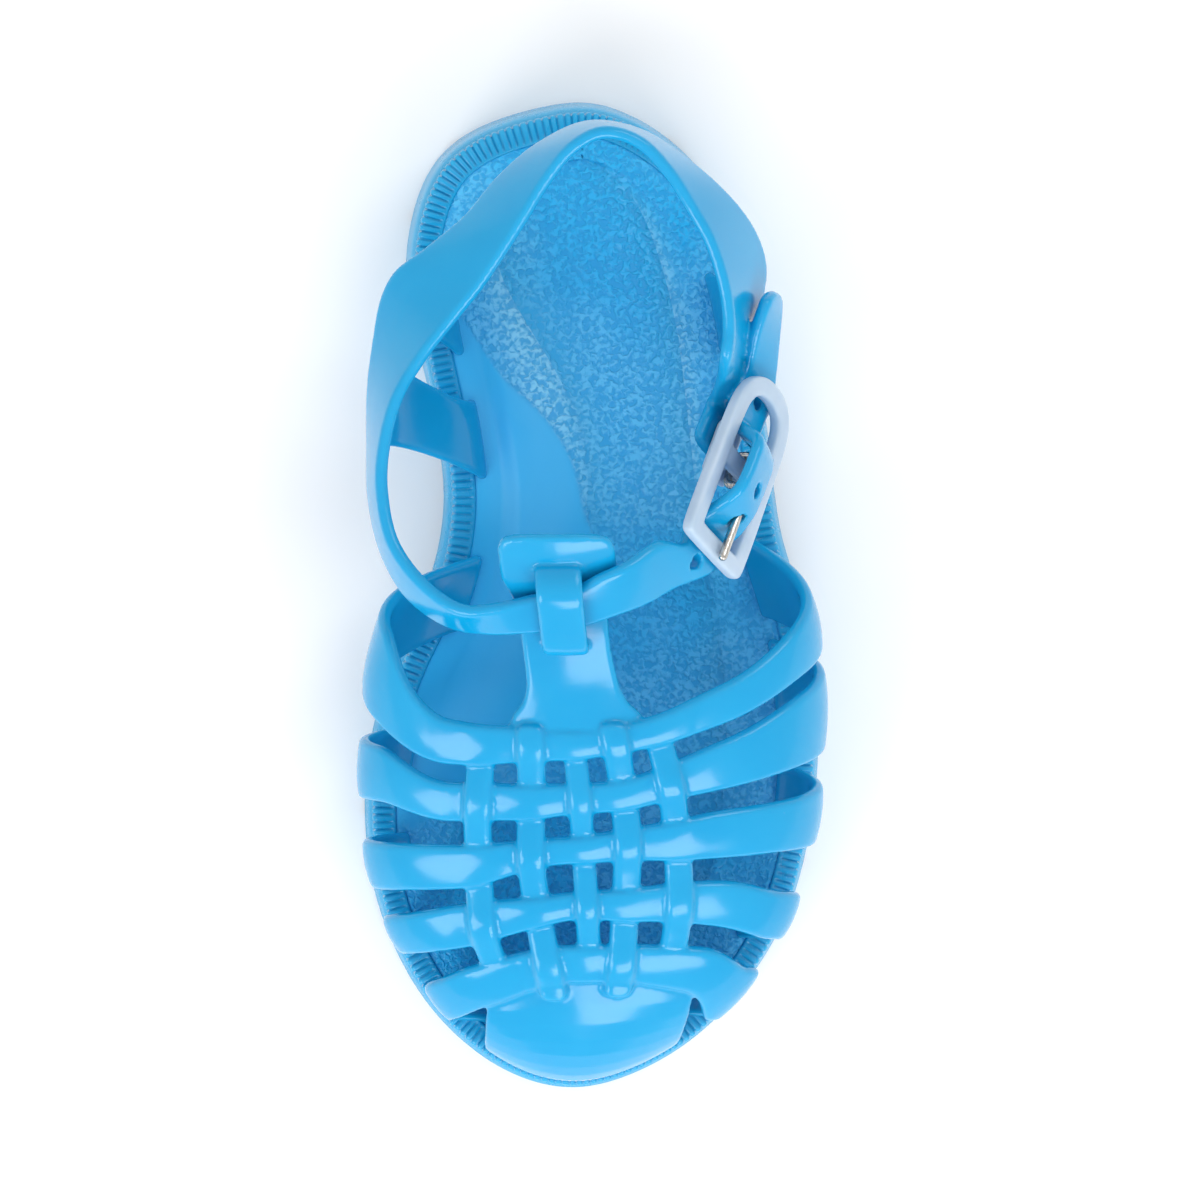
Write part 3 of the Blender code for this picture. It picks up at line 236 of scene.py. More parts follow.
def ringMesh(name, loops, wrapRows=False):
    # A mesh of closed loops that lie one beside the other
    loops = np.stack(loops)
    faces = gridFaces(*loops.shape[:2], wrapColumns=True, wrapRows=wrapRows).tolist()
    return mendMesh(meshFrom(name, loops, faces))


def closedGrid(points):
    # Rings as points and faces, with a face over the first and the last ring
    rows, columns = points.shape[:2]
    faces = gridFaces(rows, columns, wrapColumns=True).tolist()
    faces += [list(range(columns)), list(range((rows - 1) * columns, rows * columns))]
    return points.reshape(-1, 3), faces


def meshPoints(mesh):
    points = np.empty(len(mesh.vertices) * 3)
    mesh.vertices.foreach_get("co", points)
    return points.reshape(-1, 3)


def addAttribute(mesh, name, values):
    layer = mesh.attributes.new(name, "FLOAT", "POINT")
    layer.data.foreach_set("value", values.astype(np.float32))


def addObject(name, data):
    thing = bpy.data.objects.new(name, data)
    bpy.context.scene.collection.objects.link(thing)
    return thing


def joinParts(parts):
    # One list of points and faces from several
    points, faces, start = [], [], 0
    for partPoints, partFaces in parts:
        points.append(partPoints)
        faces += [[corner + start for corner in face] for face in partFaces]
        start += len(partPoints)
    return np.concatenate(points), faces


mergeDistance = 0.0000005


def mendMesh(mesh):
    work = bmesh.new()
    work.from_mesh(mesh)
    bmesh.ops.remove_doubles(work, verts=work.verts, dist=mergeDistance)
    bmesh.ops.recalc_face_normals(work, faces=work.faces)
    work.to_mesh(mesh)
    work.free()
    return mesh


def addPiece(name, mesh, material, node):
    # A finished piece: it rides on the only body and stands for its CAD node
    mesh.materials.clear()
    mesh.materials.append(material)
    mesh.shade_smooth()
    piece = addObject(name, mesh)
    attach(piece, "root")
    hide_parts(node)
    print(name, "has", len(mesh.polygons), "faces")


def evaluatedMesh(thing):
    bpy.context.view_layer.update()
    mesh = bpy.data.meshes.new_from_object(thing.evaluated_get(bpy.context.evaluated_depsgraph_get()))
    mesh.transform(thing.matrix_world)
    bpy.data.objects.remove(thing, do_unlink=True)
    return mesh


easeFactor = 0.5
mostTriangles = 194000


def mouldTogether(name, parts, voxel, passes):
    # Closed forms become one skin of small quads, and smoothing rounds the corners where they meet
    rough = addObject(name, mendMesh(meshFrom(name, *joinParts(parts))))
    skin = rough.modifiers.new("skin", "REMESH")
    skin.mode = "VOXEL"
    skin.voxel_size = voxel
    ease = rough.modifiers.new("ease", "SMOOTH")
    ease.factor = easeFactor
    ease.iterations = passes
    mesh = evaluatedMesh(rough)
    triangles = 2 * len(mesh.polygons)
    if triangles > mostTriangles:
        dense = addObject(name, mesh)
        fewer = dense.modifiers.new("fewer", "DECIMATE")
        fewer.ratio = mostTriangles / triangles
        mesh = evaluatedMesh(dense)
    return mesh


edgeReach = {"sole": 0.00006, "band": 0.00012, "cage": 0.00009, "buckle": 0.00008}
edgeEase = 0.6


def edgeAttribute(mesh, reach):
    # How far each point stands proud of its neighbours, 0 on a flat or hollow and 1 on an outer edge
    points = meshPoints(mesh)
    count = len(points)
    normals = np.empty(count * 3)
    mesh.vertex_normals.foreach_get("vector", normals)
    normals = normals.reshape(-1, 3)
    pairs = np.empty(len(mesh.edges) * 2, dtype=np.int64)
    mesh.edges.foreach_get("vertices", pairs)
    start, end = pairs.reshape(-1, 2).T
    way = points[end] - points[start]
    share = np.bincount(start, minlength=count) + np.bincount(end, minlength=count)
    share = np.maximum(share, 1)
    proud = np.bincount(start, -(normals[start] * way).sum(axis=1), count)
    proud += np.bincount(end, (normals[end] * way).sum(axis=1), count)
    proud /= share
    for _ in range(3):
        around = np.bincount(start, proud[end], count) + np.bincount(end, proud[start], count)
        proud = blend(proud, around / share, edgeEase)
    addAttribute(mesh, "edge", np.clip(proud / reach, 0, 1))


# Materials
colours = {
    "blue": (0.001, 0.310, 0.610),
    "paleBlue": (0.030, 0.43, 0.73),
    # Footbed: the first colour is painted shade in the grain's valleys, the last is the pale of the painted
    # highlights
    "footbedValleyShade": (0.003, 0.35, 0.72),
    "footbedBlue": (0.008, 0.45, 0.85),
    "footbedHighlightPale": (0.34, 0.76, 0.97),
    "milky": (0.52, 0.64, 0.77),
    "milkyShade": (0.44, 0.57, 0.71),
    "milkyRim": (0.60, 0.72, 0.84),
    "steel": (0.62, 0.60, 0.56),
    "steelDark": (0.36, 0.33, 0.30),
    "floor": (0.96, 0.96, 0.96),
    "floorPale": (0.97, 0.97, 0.97),
}


def fillSockets(tree, node, sources):
    # Fills sockets, by name or number, from other nodes' outputs or with values
    for socket, source in sources.items():
        if isinstance(source, bpy.types.NodeSocket):
            tree.links.new(source, node.inputs[socket])
        else:
            node.inputs[socket].default_value = source


def addNode(tree, kind, sources=None, **settings):
    node = tree.nodes.new(kind)
    for key, value in settings.items():
        setattr(node, key, value)
    fillSockets(tree, node, sources or {})
    return node


def startGroup(name, inputs, outputs):
    # A node group. A tuple among the start values makes a colour socket, a number a plain one.
    group = bpy.data.node_groups.new(name, "ShaderNodeTree")
    for label, value in inputs.items():
        kind = "NodeSocketColor" if isinstance(value, tuple) else "NodeSocketFloat"
        group.interface.new_socket(name=label, in_out="INPUT", socket_type=kind).default_value = value
    for label, kind in outputs.items():
        group.interface.new_socket(name=label, in_out="OUTPUT", socket_type=kind)
    return group, group.nodes.new("NodeGroupInput").outputs, group.nodes.new("NodeGroupOutput")


def mixColour(tree, factor, first, second):
    first, second = ((*colour, 1.0) if isinstance(colour, tuple) else colour for colour in (first, second))
    return addNode(tree, "ShaderNodeMix", {0: factor, 6: first, 7: second}, data_type="RGBA").outputs[2]


def rangeOf(tree, value, fromLow, fromHigh, toLow=0.0, toHigh=1.0):
    sources = {"Value": value, "From Min": fromLow, "From Max": fromHigh, "To Min": toLow, "To Max": toHigh}
    return addNode(tree, "ShaderNodeMapRange", sources, interpolation_type="SMOOTHSTEP").outputs["Result"]


def mathNode(tree, operation, first, second):
    return addNode(tree, "ShaderNodeMath", {0: first, 1: second}, operation=operation).outputs[0]


def placeOf(tree):
    return addNode(tree, "ShaderNodeTexCoord").outputs["Object"]


def attributeOf(tree, name):
    return addNode(tree, "ShaderNodeAttribute", attribute_name=name).outputs["Fac"]


def noiseOf(tree, place, scale, detail, **more):
    sources = {"Vector": place, "Scale": scale, "Detail": detail, **more}
    return addNode(tree, "ShaderNodeTexNoise", sources).outputs[0]


def bumpOf(tree, strength, distance, height, **more):
    sources = {"Strength": strength, "Distance": distance, "Height": height, **more}
    return addNode(tree, "ShaderNodeBump", sources).outputs[0]


def mouldedGroup():
    # Skin of moulded plastic: slow waves in the gloss, specks, cloudy colour and paler edges
    group, given, outputs = startGroup(
        "mouldedSkin",
        {"Colour": (*colours["blue"], 1), "Pale": (*colours["paleBlue"], 1), "Edge": 0.0,
         "Edge Paleness": 0.5, "Wave Size": 160.0, "Wave Height": 0.00006, "Roughness": 0.2},
        {"Colour": "NodeSocketColor", "Roughness": "NodeSocketFloat", "Normal": "NodeSocketVector"})
    place = placeOf(group)
    cloud = noiseOf(group, place, 55.0, 3.0)
    grit = noiseOf(group, place, 2600.0, 2.0)
    wave = noiseOf(group, place, given["Wave Size"], 1.0)
    cloudy = rangeOf(group, cloud, 0.35, 0.75, 0.0, 0.16)
    cloudy = mixColour(group, cloudy, given["Colour"], given["Pale"])
    rim = mathNode(group, "MULTIPLY", given["Edge"], given["Edge Paleness"])
    haze = rangeOf(group, cloud, 0.3, 0.7, -0.03, 0.05)
    speck = rangeOf(group, grit, 0.62, 0.75, 0.0, 0.06)
    slow = bumpOf(group, 1.0, given["Wave Height"], wave)
    fillSockets(group, outputs, {
        "Colour": mixColour(group, rim, cloudy, given["Pale"]),
        "Roughness": mathNode(group, "ADD", mathNode(group, "ADD", given["Roughness"], haze), speck),
        "Normal": bumpOf(group, 0.25, 0.000012, grit, Normal=slow),
    })
    return group


def pebbleGroup():
    # Pebble grain of a footbed: worm-like bumps under a millimetre wide, with a mask for the smooth part
    group, given, outputs = startGroup("pebbleGrain", {"Size": 900.0, "Plain": 0.0},
                                       dict.fromkeys(("Height", "Crown", "Patch"), "NodeSocketFloat"))
    place = placeOf(group)
    worms = noiseOf(group, place, given["Size"], 1.0, Roughness=0.4, Distortion=0.5)
    sand = noiseOf(group, place, 2400.0, 2.0)
    kept = mathNode(group, "SUBTRACT", 1.0, given["Plain"])
    pebbles = mathNode(group, "MULTIPLY", rangeOf(group, worms, 0.36, 0.66), kept)
    # Crown and Patch also place the footbed's painted highlights and painted shade
    fillSockets(group, outputs, {
        "Height": mathNode(group, "ADD", pebbles, mathNode(group, "MULTIPLY", sand, 0.16)),
        "Crown": pebbles,
        "Patch": rangeOf(group, noiseOf(group, place, 42.0, 2.0), 0.42, 0.66),
    })
    return group


def startMaterial(name, settings):
    material = bpy.data.materials.new(name)
    material.use_nodes = True
    shader = material.node_tree.nodes["Principled BSDF"]
    fillSockets(material.node_tree, shader, settings)
    return material, material.node_tree, shader


jellyLight = {
    "Specular IOR Level": 0.36,
    "Subsurface Weight": 0.18,
    "Subsurface Radius": (0.35, 0.8, 1.0),
    "Subsurface Scale": 0.0018,
    "Coat Weight": 0.08,
    "Coat Roughness": 0.06,
}
# Kinds of jelly: roughness, size and height of the waves, paleness of the edges
jellyKinds = {
    "solePlastic": (0.26, 220.0, 0.00004, 0.45),
    "bandPlastic": (0.30, 220.0, 0.00004, 0.3),
    "upperPlastic": (0.15, 150.0, 0.00007, 0.5),
}


def jellyMaterial(name, group):
    material, tree, shader = startMaterial(name, jellyLight)
    roughness, waveSize, waveHeight, paleness = jellyKinds[name]
    skin = addNode(tree, "ShaderNodeGroup", {
        "Colour": (*colours["blue"], 1), "Pale": (*colours["paleBlue"], 1), "Edge": attributeOf(tree, "edge"),
        "Edge Paleness": paleness, "Wave Size": waveSize, "Wave Height": waveHeight, "Roughness": roughness,
    }, node_tree=group).outputs
    fillSockets(tree, shader, {"Base Color": skin["Colour"], "Roughness": skin["Roughness"],
                               "Normal": skin["Normal"]})
    return material


def footbedMaterial(group):
    material, tree, shader = startMaterial("footbedPlastic", {
        "Specular IOR Level": 0.5,
        "Subsurface Weight": 0.10,
        "Subsurface Radius": (0.35, 0.8, 1.0),
        "Subsurface Scale": 0.0012,
    })
    plain = attributeOf(tree, "plain")
    grain = addNode(tree, "ShaderNodeGroup", {"Size": 1250.0, "Plain": plain}, node_tree=group).outputs
    # Painted light and shade: crowns are paler than the valleys, as a painted highlight on the crowns and
    # painted shade in the valleys, and whitish in the patches of painted highlight; the plain pad keeps the
    # full blue
    level = mathNode(tree, "MAXIMUM", grain["Crown"], plain)
    base = mixColour(tree, level, colours["footbedValleyShade"], colours["footbedBlue"])
    # Strength of the painted highlight: stronger on the crowns of the grain
    haze = mathNode(tree, "ADD", mathNode(tree, "MULTIPLY", grain["Crown"], 0.75), 0.18)
    patch = mathNode(tree, "MULTIPLY", grain["Patch"], 0.35)
    patch = mathNode(tree, "ADD", patch, attributeOf(tree, "paintedHighlight"))
    # Share of the pale painted highlight: random patches and the painted highlight stripes
    paintedHighlightShare = mathNode(tree, "MULTIPLY", haze, mathNode(tree, "MINIMUM", patch, 1.0))
    paintedHighlightShare = mathNode(tree, "MULTIPLY", paintedHighlightShare, 0.7)
    fillSockets(tree, shader, {
        "Base Color": mixColour(tree, paintedHighlightShare, base, colours["footbedHighlightPale"]),
        "Roughness": rangeOf(tree, grain["Height"], 0.0, 1.1, 0.46, 0.34),
        "Normal": bumpOf(tree, 0.9, 0.00016, grain["Height"]),
    })
    return material


def milkyMaterial():
    material, tree, shader = startMaterial("buckleMilky", {
        "Transmission Weight": 0.12,
        "Subsurface Weight": 0.5,
        "Subsurface Radius": (0.8, 0.9, 1.0),
        "Subsurface Scale": 0.0020,
        "IOR": 1.5,
    })
    place = placeOf(tree)
    cloud = noiseOf(tree, place, 140.0, 3.0)
    grit = noiseOf(tree, place, 2400.0, 2.0)
    base = mixColour(tree, rangeOf(tree, cloud, 0.3, 0.7), colours["milkyShade"], colours["milky"])
    rim = mathNode(tree, "MULTIPLY", attributeOf(tree, "edge"), 0.5)
    fillSockets(tree, shader, {
        "Base Color": mixColour(tree, rim, base, colours["milkyRim"]),
        "Roughness": rangeOf(tree, cloud, 0.2, 0.8, 0.26, 0.40),
        "Normal": bumpOf(tree, 0.5, 0.00002, grit),
    })
    return material


def steelMaterial():
    # Fine lines along the wire, from a noise stretched in that direction
    material, tree, shader = startMaterial("prongSteel", {"Metallic": 1.0})
    stretched = {"Vector": placeOf(tree), "Scale": (2600.0, 300.0, 2600.0)}
    lines = noiseOf(tree, addNode(tree, "ShaderNodeMapping", stretched).outputs[0], 1.0, 3.0)
    tint = rangeOf(tree, lines, 0.35, 0.7)
    fillSockets(tree, shader, {
        "Base Color": mixColour(tree, tint, colours["steel"], colours["steelDark"]),
        "Roughness": rangeOf(tree, lines, 0.3, 0.7, 0.16, 0.30),
        "Normal": bumpOf(tree, 0.4, 0.00001, lines),
    })
    return material


moulded = mouldedGroup()
solePlastic, bandPlastic, upperPlastic = (jellyMaterial(name, moulded) for name in jellyKinds)
footbedPlastic = footbedMaterial(pebbleGroup())
buckleMilky = milkyMaterial()
prongSteel = steelMaterial()
print("materials made")


# Sole: loops from the middle of the underside out, up the wall, over the ribbed rim and into the recess
def treadGrooves(y):
    # Depth of the tread at a place along: a flat-bottomed groove at each of the named places
    places = np.concatenate([np.linspace(*sole[zone]) for zone in ("forefootGrooves", "heelGrooves")])
    away = np.abs(np.asarray(y)[..., None] - places * soleLength).min(axis=-1)
    half = sole["grooveWidth"] / 2
    return sole["grooveDepth"] * (1 - smoothStep(half * 0.75, half * 1.15, away))


def ribGrooves(ring):
    # Depth of the grooves between the ribs, even along the outline: 0 on a rib, 1 in the middle of a groove
    steps = np.linalg.norm(np.roll(ring, -1, axis=0) - ring, axis=1)
    run = np.concatenate([[0], np.cumsum(steps)[:-1]])
    count = round(steps.sum() / sole["ribPitch"])
    away = np.abs((run / steps.sum() * count) % 1 - 0.5)
    return 1 - smoothStep(sole["ribGap"] * 0.18, sole["ribGap"] * 0.5, away)


def rimLoop(ring, inward, inset, rise):
    # The outline's loop moved inwards, at a height over the rim's top
    flat = ring + inward * inset
    return np.column_stack([flat, rimTop(flat[:, 1]) + rise])


wallShare = 0.55
spineLoops = 9


def makeSole():
    ring, inward = stationRing(sole["stations"])
    ribs = ribGrooves(ring) * sole["ribDepth"]
    lip, flare, edge = sole["lipDepth"], sole["wallFlare"], sole["edgeRound"]
    inner, step, end = innerEdge, sole["lipStep"], sole["ribEnd"]
    # Columns: inset, height over the underside or the rim's top, then shares: tread; ribs inwards, ribs down
    fromFloor = ((edge * 1.5, 0.0, 1.0), (edge * 0.55, edge * 0.22, 0.7), (edge * 0.12, edge * 0.7, 0.45),
                 (0.0, edge * 1.5, 0.2))
    fromTop = (
        (flare * 0.75, -lip * 1.7, 0.0, 0.0),
        (flare + step, -lip - step * 0.9, 0.0, 0.0),
        (flare + step * 0.9, -lip - step * 0.3, 0.0, 0.0),
        (flare + edge * 0.15, -lip, 0.1, 0.0),
        (flare, -lip * 0.88, 0.5, 0.0),
        (flare, -lip * 0.60, 1.0, 0.0),
        (flare, -edge, 1.0, 0.0),
        (flare + edge * 0.12, -edge * 0.5, 0.9, 0.4),
        (flare + edge * 0.45, -edge * 0.13, 0.5, 0.8),
        (flare + edge, 0.0, 0.0, 1.0),
        ((flare + inner) / 2, 0.0, 0.0, 1.0),
        (inner - end * 1.6, 0.0, 0.0, 1.0),
        (inner - end, 0.0, 0.0, 0.35),
        (inner - end * 0.6, 0.0, 0.0, 0.0),
        (inner - edge * 0.15, -edge * 0.1, 0.0, 0.0),
        (inner, -edge * 0.5, 0.0, 0.0),
        (inner, -sole["recessDepth"], 0.0, 0.0),
    )
    loops = []
    for inset, rise, grooved in fromFloor:
        flat = ring + inward * inset
        y = flat[:, 1]
        loops.append(np.column_stack([flat, underside(y) + rise + treadGrooves(y) * grooved]))
    for inset, rise, ribIn, ribDown in fromTop:
        loops.append(rimLoop(ring, inward, (inset + ribs * ribIn)[:, None], rise - ribs * ribDown))
    loops.insert(4, blend(loops[3], loops[4], wallShare))
    partner = (-np.arange(len(ring))) % len(ring)
    underEdge, floorEdge = loops[0], loops[-1]
    underSpine = (underEdge + underEdge[partner]) / 2
    floorSpine = (floorEdge + floorEdge[partner]) / 2
    under = []
    for share in np.linspace(0, 1, spineLoops)[:-1]:
        loop = blend(underSpine, underEdge, share)
        loop[:, 2] = underside(loop[:, 1]) + treadGrooves(loop[:, 1])
        under.append(loop)
    mesh = ringMesh("soleBody", [*under, *loops, blend(floorEdge, floorSpine, 0.5), floorSpine])
    edgeAttribute(mesh, edgeReach["sole"])
    addPiece("soleBody", mesh, solePlastic, "sole")


makeSole()

# Footbed
footbed = {
    "dish": 0.0012,
    "archPad": 0.0020,
    "padStep": 0.00045,       # height of the smooth pad's edge over the pebbled part
    "padSoft": 0.0011,
    "stations": 300,
    "rings": 66,
    "margin": 0.0003,         # how far the margin lies under the ribs
    "edge": 0.0003,
    "overlap": 0.0002,        # how far the margin runs in under the rim's inner edge
}
# Edge of the smooth arch pad: along, across, as shares of the length and the ball width
padEdge = (
    (-0.245, -0.400), (-0.185, -0.270), (-0.120, -0.130), (-0.055, -0.025), (0.000, 0.020), (0.050, 0.017),
    (0.088, -0.011), (0.138, -0.037), (0.183, -0.092), (0.233, -0.200), (0.288, -0.280), (0.340, -0.390),
)
padEdgeAcross = steadyTable(padEdge)
footbedSides = sideAt(bandInner + clearance)


def padMask(x, y):
    # 1 on the smooth pad, 0 on the pebbles, by the distance across from the pad's edge
    share = y / soleLength
    within = smoothStep(padEdge[0][0], padEdge[0][0] + 0.03, share) * (1 - smoothStep(0.31, 0.34, share))
    return smoothStep(0, footbed["padSoft"], padEdgeAcross(share) * ballWidth - x) * within


def footbedTop(x, y):
    # Level with the band at the edge, dished inside it, with the arch pad raised along the inner side
    left, right = footbedSides(y)
    across = np.clip((x - left) / np.maximum(right - left, 0.000001), 0, 1)
    dish = footbed["dish"] * np.clip(4 * across * (1 - across), 0, 1) ** 0.8
    pad = footbed["archPad"] * bump(y / soleLength - 0.14, 0.13) * np.clip(1 - across / 0.62, 0, 1) ** 1.2
    pad *= smoothStep(0, 0.11, across)
    step = footbed["padStep"] * padMask(x, y) * smoothStep(0, 0.10, across)
    return rimTop(y) - footbed["margin"] - dish + pad + step


def makeFootbed():
    # Its pebbled margin covers the base band and meets the ribbed rim a little lower down
    ring, inward = stationRing(footbed["stations"])
    partner = (-np.arange(len(ring))) % len(ring)
    inset, edge = innerEdge - footbed["overlap"], footbed["edge"]
    base, shoulder, corner = (rimLoop(ring, inward, inset + edge * further, -footbed["margin"] - edge * down)
                              for further, down in ((0.0, 2.0), (0.0, 1.0), (0.3, 0.3)))
    top = ring + inward * (inset + edge)
    spine = (top + top[partner]) / 2
    loops = [(base + base[partner]) / 2, base, shoulder, corner]
    for share in np.linspace(1, 0, footbed["rings"]):
        flat = spine + (top - spine) * share
        loops.append(np.column_stack([flat, footbedTop(flat[:, 0], flat[:, 1])]))
    mesh = ringMesh("footbedPad", loops)
    # Painted highlights: a pale stripe on either side of the heel, and one along the smooth pad's edge
    x, y = meshPoints(mesh)[:, :2].T
    left, right = footbedSides(y)
    across = (x - left) / np.maximum(right - left, 0.000001)
    plain = padMask(x, y)
    share = y / soleLength
    heel = smoothStep(-0.02, 0.10, share) * (1 - smoothStep(0.36, 0.44, share))
    padStripe = bump(x - padEdgeAcross(share) * ballWidth + 0.012, 0.005) * plain
    # Painted highlight mask: where the footbed is drawn paler
    paintedHighlight = heel * (0.8 * bump(across - 0.24, 0.13) + 0.65 * bump(across - 0.86, 0.07)) + 0.8 * padStripe
    addAttribute(mesh, "plain", plain)
    addAttribute(mesh, "paintedHighlight", np.clip(paintedHighlight, 0, 1))
    addPiece("footbedPad", mesh, footbedPlastic, "footbed")


makeFootbed()


# Base band: a rounded ring in the sole's recess, in which the straps root, under the footbed's margin
band = {"stations": 420, "edge": 0.0006, "top": -0.0016}


def makeBand():
    ring, inward = stationRing(band["stations"])
    edge, outer, inner = band["edge"], bandOuter, bandInner
    low, high = -sole["recessDepth"] + clearance, band["top"]
    section = ((inner, low), (outer, low), (outer, high - edge), (outer + edge * 0.3, high - edge * 0.3),
               (outer + edge, high), ((outer + inner) / 2, high + edge * 0.2), (inner - edge, high),
               (inner - edge * 0.3, high - edge * 0.3), (inner, high - edge))
    loops = [rimLoop(ring, inward, inset, rise) for inset, rise in section]
    mesh = ringMesh("baseBand", loops, wrapRows=True)
    edgeAttribute(mesh, edgeReach["band"])
    addPiece("baseBand", mesh, bandPlastic, "upper")


makeBand()

# Cage of the vamp: five straps, five lengthwise columns, toe cap, T-bar and keeper
cage = {
    "strapLift": 0.00035,     # how far a strap rises over a column or sinks under it
    "columnLift": 0.00100,
    "liftReach": 0.0032,
    "columnEnd": 0.0016,
    "barEnd": 0.0012,
    "keeperEnd": 0.0009,
    "capSink": 0.0010,        # how far the toe cap's top lies under the fifth strap
    "capClimb": 0.0014,       # how far the columns that end on the toe cap rise to its surface
    "columnWidth": 0.0045,
    "middleColumnWidth": 0.0038,
    "columnCrown": 0.00020,
    "strapCrown": 0.00035,
    "keeperWidth": 0.0071,
    "capShelf": 0.0013,
    "bellyTurn": 0.30,        # how far up from the root the side is widest
    "shoulder": 0.80,
    "rootSteep": 0.38,
    "keeperWay": (0.063, -0.020),
    "keeperRise": 0.0049,
    "barRound": 0.030,
    "capAngle": math.radians(68),
    "capHalf": 0.008,
    "capEnds": (0.0018, 0.0018),
    "shelfHalf": 0.0026,
    "shelfEnds": (0.0012, 0.0012),
    "voxel": 0.00038,
    "passes": 2,
}
# Crest of the instep: along, height as a share of the cage height, across as a share of the ball width
crestRows = (
    (-0.470, 0.217, -0.030), (-0.440, 0.325, -0.030), (-0.400, 0.425, -0.030), (-0.360, 0.492, -0.030),
    (-0.300, 0.555, -0.032), (-0.240, 0.605, -0.034), (-0.185, 0.653, -0.036), (-0.120, 0.703, -0.044),
    (-0.064, 0.742, -0.060), (-0.026, 0.780, -0.074), (0.000, 0.815, -0.081), (0.031, 0.870, -0.089),
    (0.058, 0.925, -0.096), (0.080, 0.965, -0.101), (0.100, 0.988, -0.104),
)
# Widest point past the sole's edge, as shares of the ball width: along, inner side, outer side
bellyRows = (
    (-0.47, -0.064, -0.064), (-0.37, -0.044, -0.036), (-0.32, -0.025, -0.028), (-0.26, -0.012, -0.022),
    (-0.16, 0.008, -0.019), (-0.05, 0.053, -0.003), (0.03, 0.083, 0.000), (0.08, 0.090, 0.000),
)
# Places round the foot of the columns of the strap table: -1 inner root, 0 crest, 1 outer root
roundTheFoot = (-1.0, -0.5, -0.25, 0.0, 0.25, 0.5, 1.0)
# Heelward and toeward edge of each strap, as shares of the sole length
strapRows = (
    ((0.048, -0.013, -0.098, -0.106, -0.065, -0.010, 0.067),
     (-0.029, -0.106, -0.144, -0.137, -0.104, -0.061, -0.016)),
    ((-0.125, -0.131, -0.163, -0.162, -0.121, -0.079, -0.038),
     (-0.199, -0.188, -0.203, -0.194, -0.171, -0.153, -0.131)),
    ((-0.234, -0.230, -0.227, -0.215, -0.193, -0.185, -0.167),
     (-0.288, -0.279, -0.272, -0.244, -0.242, -0.240, -0.240)),
    ((-0.317, -0.304, -0.289, -0.274, -0.266, -0.283, -0.295),
     (-0.356, -0.344, -0.333, -0.304, -0.312, -0.331, -0.343)),
    ((-0.391, -0.373, -0.351, -0.330, -0.335, -0.362, -0.372),
     (-0.426, -0.413, -0.394, -0.369, -0.381, -0.417, -0.420)),
)
# Columns: place round the foot at the heelward, middle and toeward end, the two ends as shares of the length,
# and 1 where the column is over the second and fourth strap
columnRows = (
    ((-0.180, -0.200, -0.215), -0.128, -0.350, 1),
    ((-0.080, -0.090, -0.070), -0.100, -0.385, -1),
    ((-0.010, 0.000, 0.010), -0.125, -0.345, 1),
    ((0.048, 0.070, 0.072), -0.098, -0.382, -1),
    ((0.120, 0.160, 0.185), -0.108, -0.340, 1),
)
# Half width of the T-bar and head plate as a share of the ball width, along the sole
barRows = (
    (-0.128, 0.150), (-0.112, 0.150), (-0.096, 0.136), (-0.080, 0.110), (-0.060, 0.097), (-0.020, 0.093),
    (0.015, 0.096), (0.032, 0.108), (0.046, 0.1225), (0.072, 0.1225), (0.083, 0.116), (0.0905, 0.098),
    (0.0935, 0.080),
)
capSides = (-0.240, 0.182)
capTop = (-0.29, 0.31)

crestHeight = steadyTable(crestRows, 1)
crestAcross = steadyTable(crestRows, 2)
bellyInner = steadyTable(bellyRows, 1)
bellyOuter = steadyTable(bellyRows, 2)
strapEdges = [(steadyTable(list(zip(roundTheFoot, back))), steadyTable(list(zip(roundTheFoot, front))))
              for back, front in strapRows]


def cageSurface(y, turn):
    # Middle of the wall: each section is a cubic Bezier from a steep root to a level crest
    y, turn = np.broadcast_arrays(np.asarray(y, float), np.asarray(turn, float))
    inner = turn < 0
    share = y / soleLength
    rootHeight = rimTop(y) + rootRise
    crest = crestAcross(share) * ballWidth
    root = np.where(inner, rootSides(y)[0], rootSides(y)[1])
    edge = np.where(inner, soleSides(y)[0], soleSides(y)[1])
    belly = edge + ballWidth * np.where(inner, -bellyInner(share), bellyOuter(share))
    shoulder = cage["shoulder"]
    atBelly = bezierWeights(cage["bellyTurn"])
    fixed = atBelly[0] * root + (atBelly[2] * (1 - shoulder) + atBelly[3]) * crest
    reach = (belly - fixed) / (atBelly[1] + atBelly[2] * shoulder)
    nearCrest = crest + shoulder * (reach - crest)
    weights = bezierWeights(1 - np.abs(turn))
    across = weights[0] * root + weights[1] * reach + weights[2] * nearCrest + weights[3] * crest
    lift = crestHeight(share) * cageHeight - rootHeight
    height = rootHeight + lift * (cage["rootSteep"] * weights[1] + weights[2] + weights[3])
    return np.stack([across, y, height], axis=-1)


sectionFlat, sectionArc = 9, 6


def roundedSection():
    # Once round a rounded rectangle: place on the flat (-1 to 1), corner's cosine, side (1 up), its sine
    across = np.linspace(-1, 1, sectionFlat)
    turn = np.radians(np.linspace(90, 0, sectionArc))
    up, level = np.sin(turn), np.cos(turn)
    one, none, top = np.ones(sectionArc), 0 * across, 1 + 0 * across
    return np.hstack([
        np.stack([across, none, top, top]),
        np.stack([one, level, one, up])[:, 1:],
        np.stack([one, level, -one, -up])[:, ::-1],
        np.stack([across[::-1], none, -top, -top])[:, 1:],
        np.stack([-one, -level, -one, -up])[:, 1:],
        np.stack([-one, -level, one, up])[:, ::-1][:, :-1],
    ])


cornerShare = 0.9
lattice = 9      # points across a band at which its normal is measured


def endShrink(away, reach):
    # A quarter circle from 0 at a band's end to 1
    return np.sqrt(np.clip(1 - (1 - np.clip(away / reach, 0, 1)) ** 2, 0, 1))


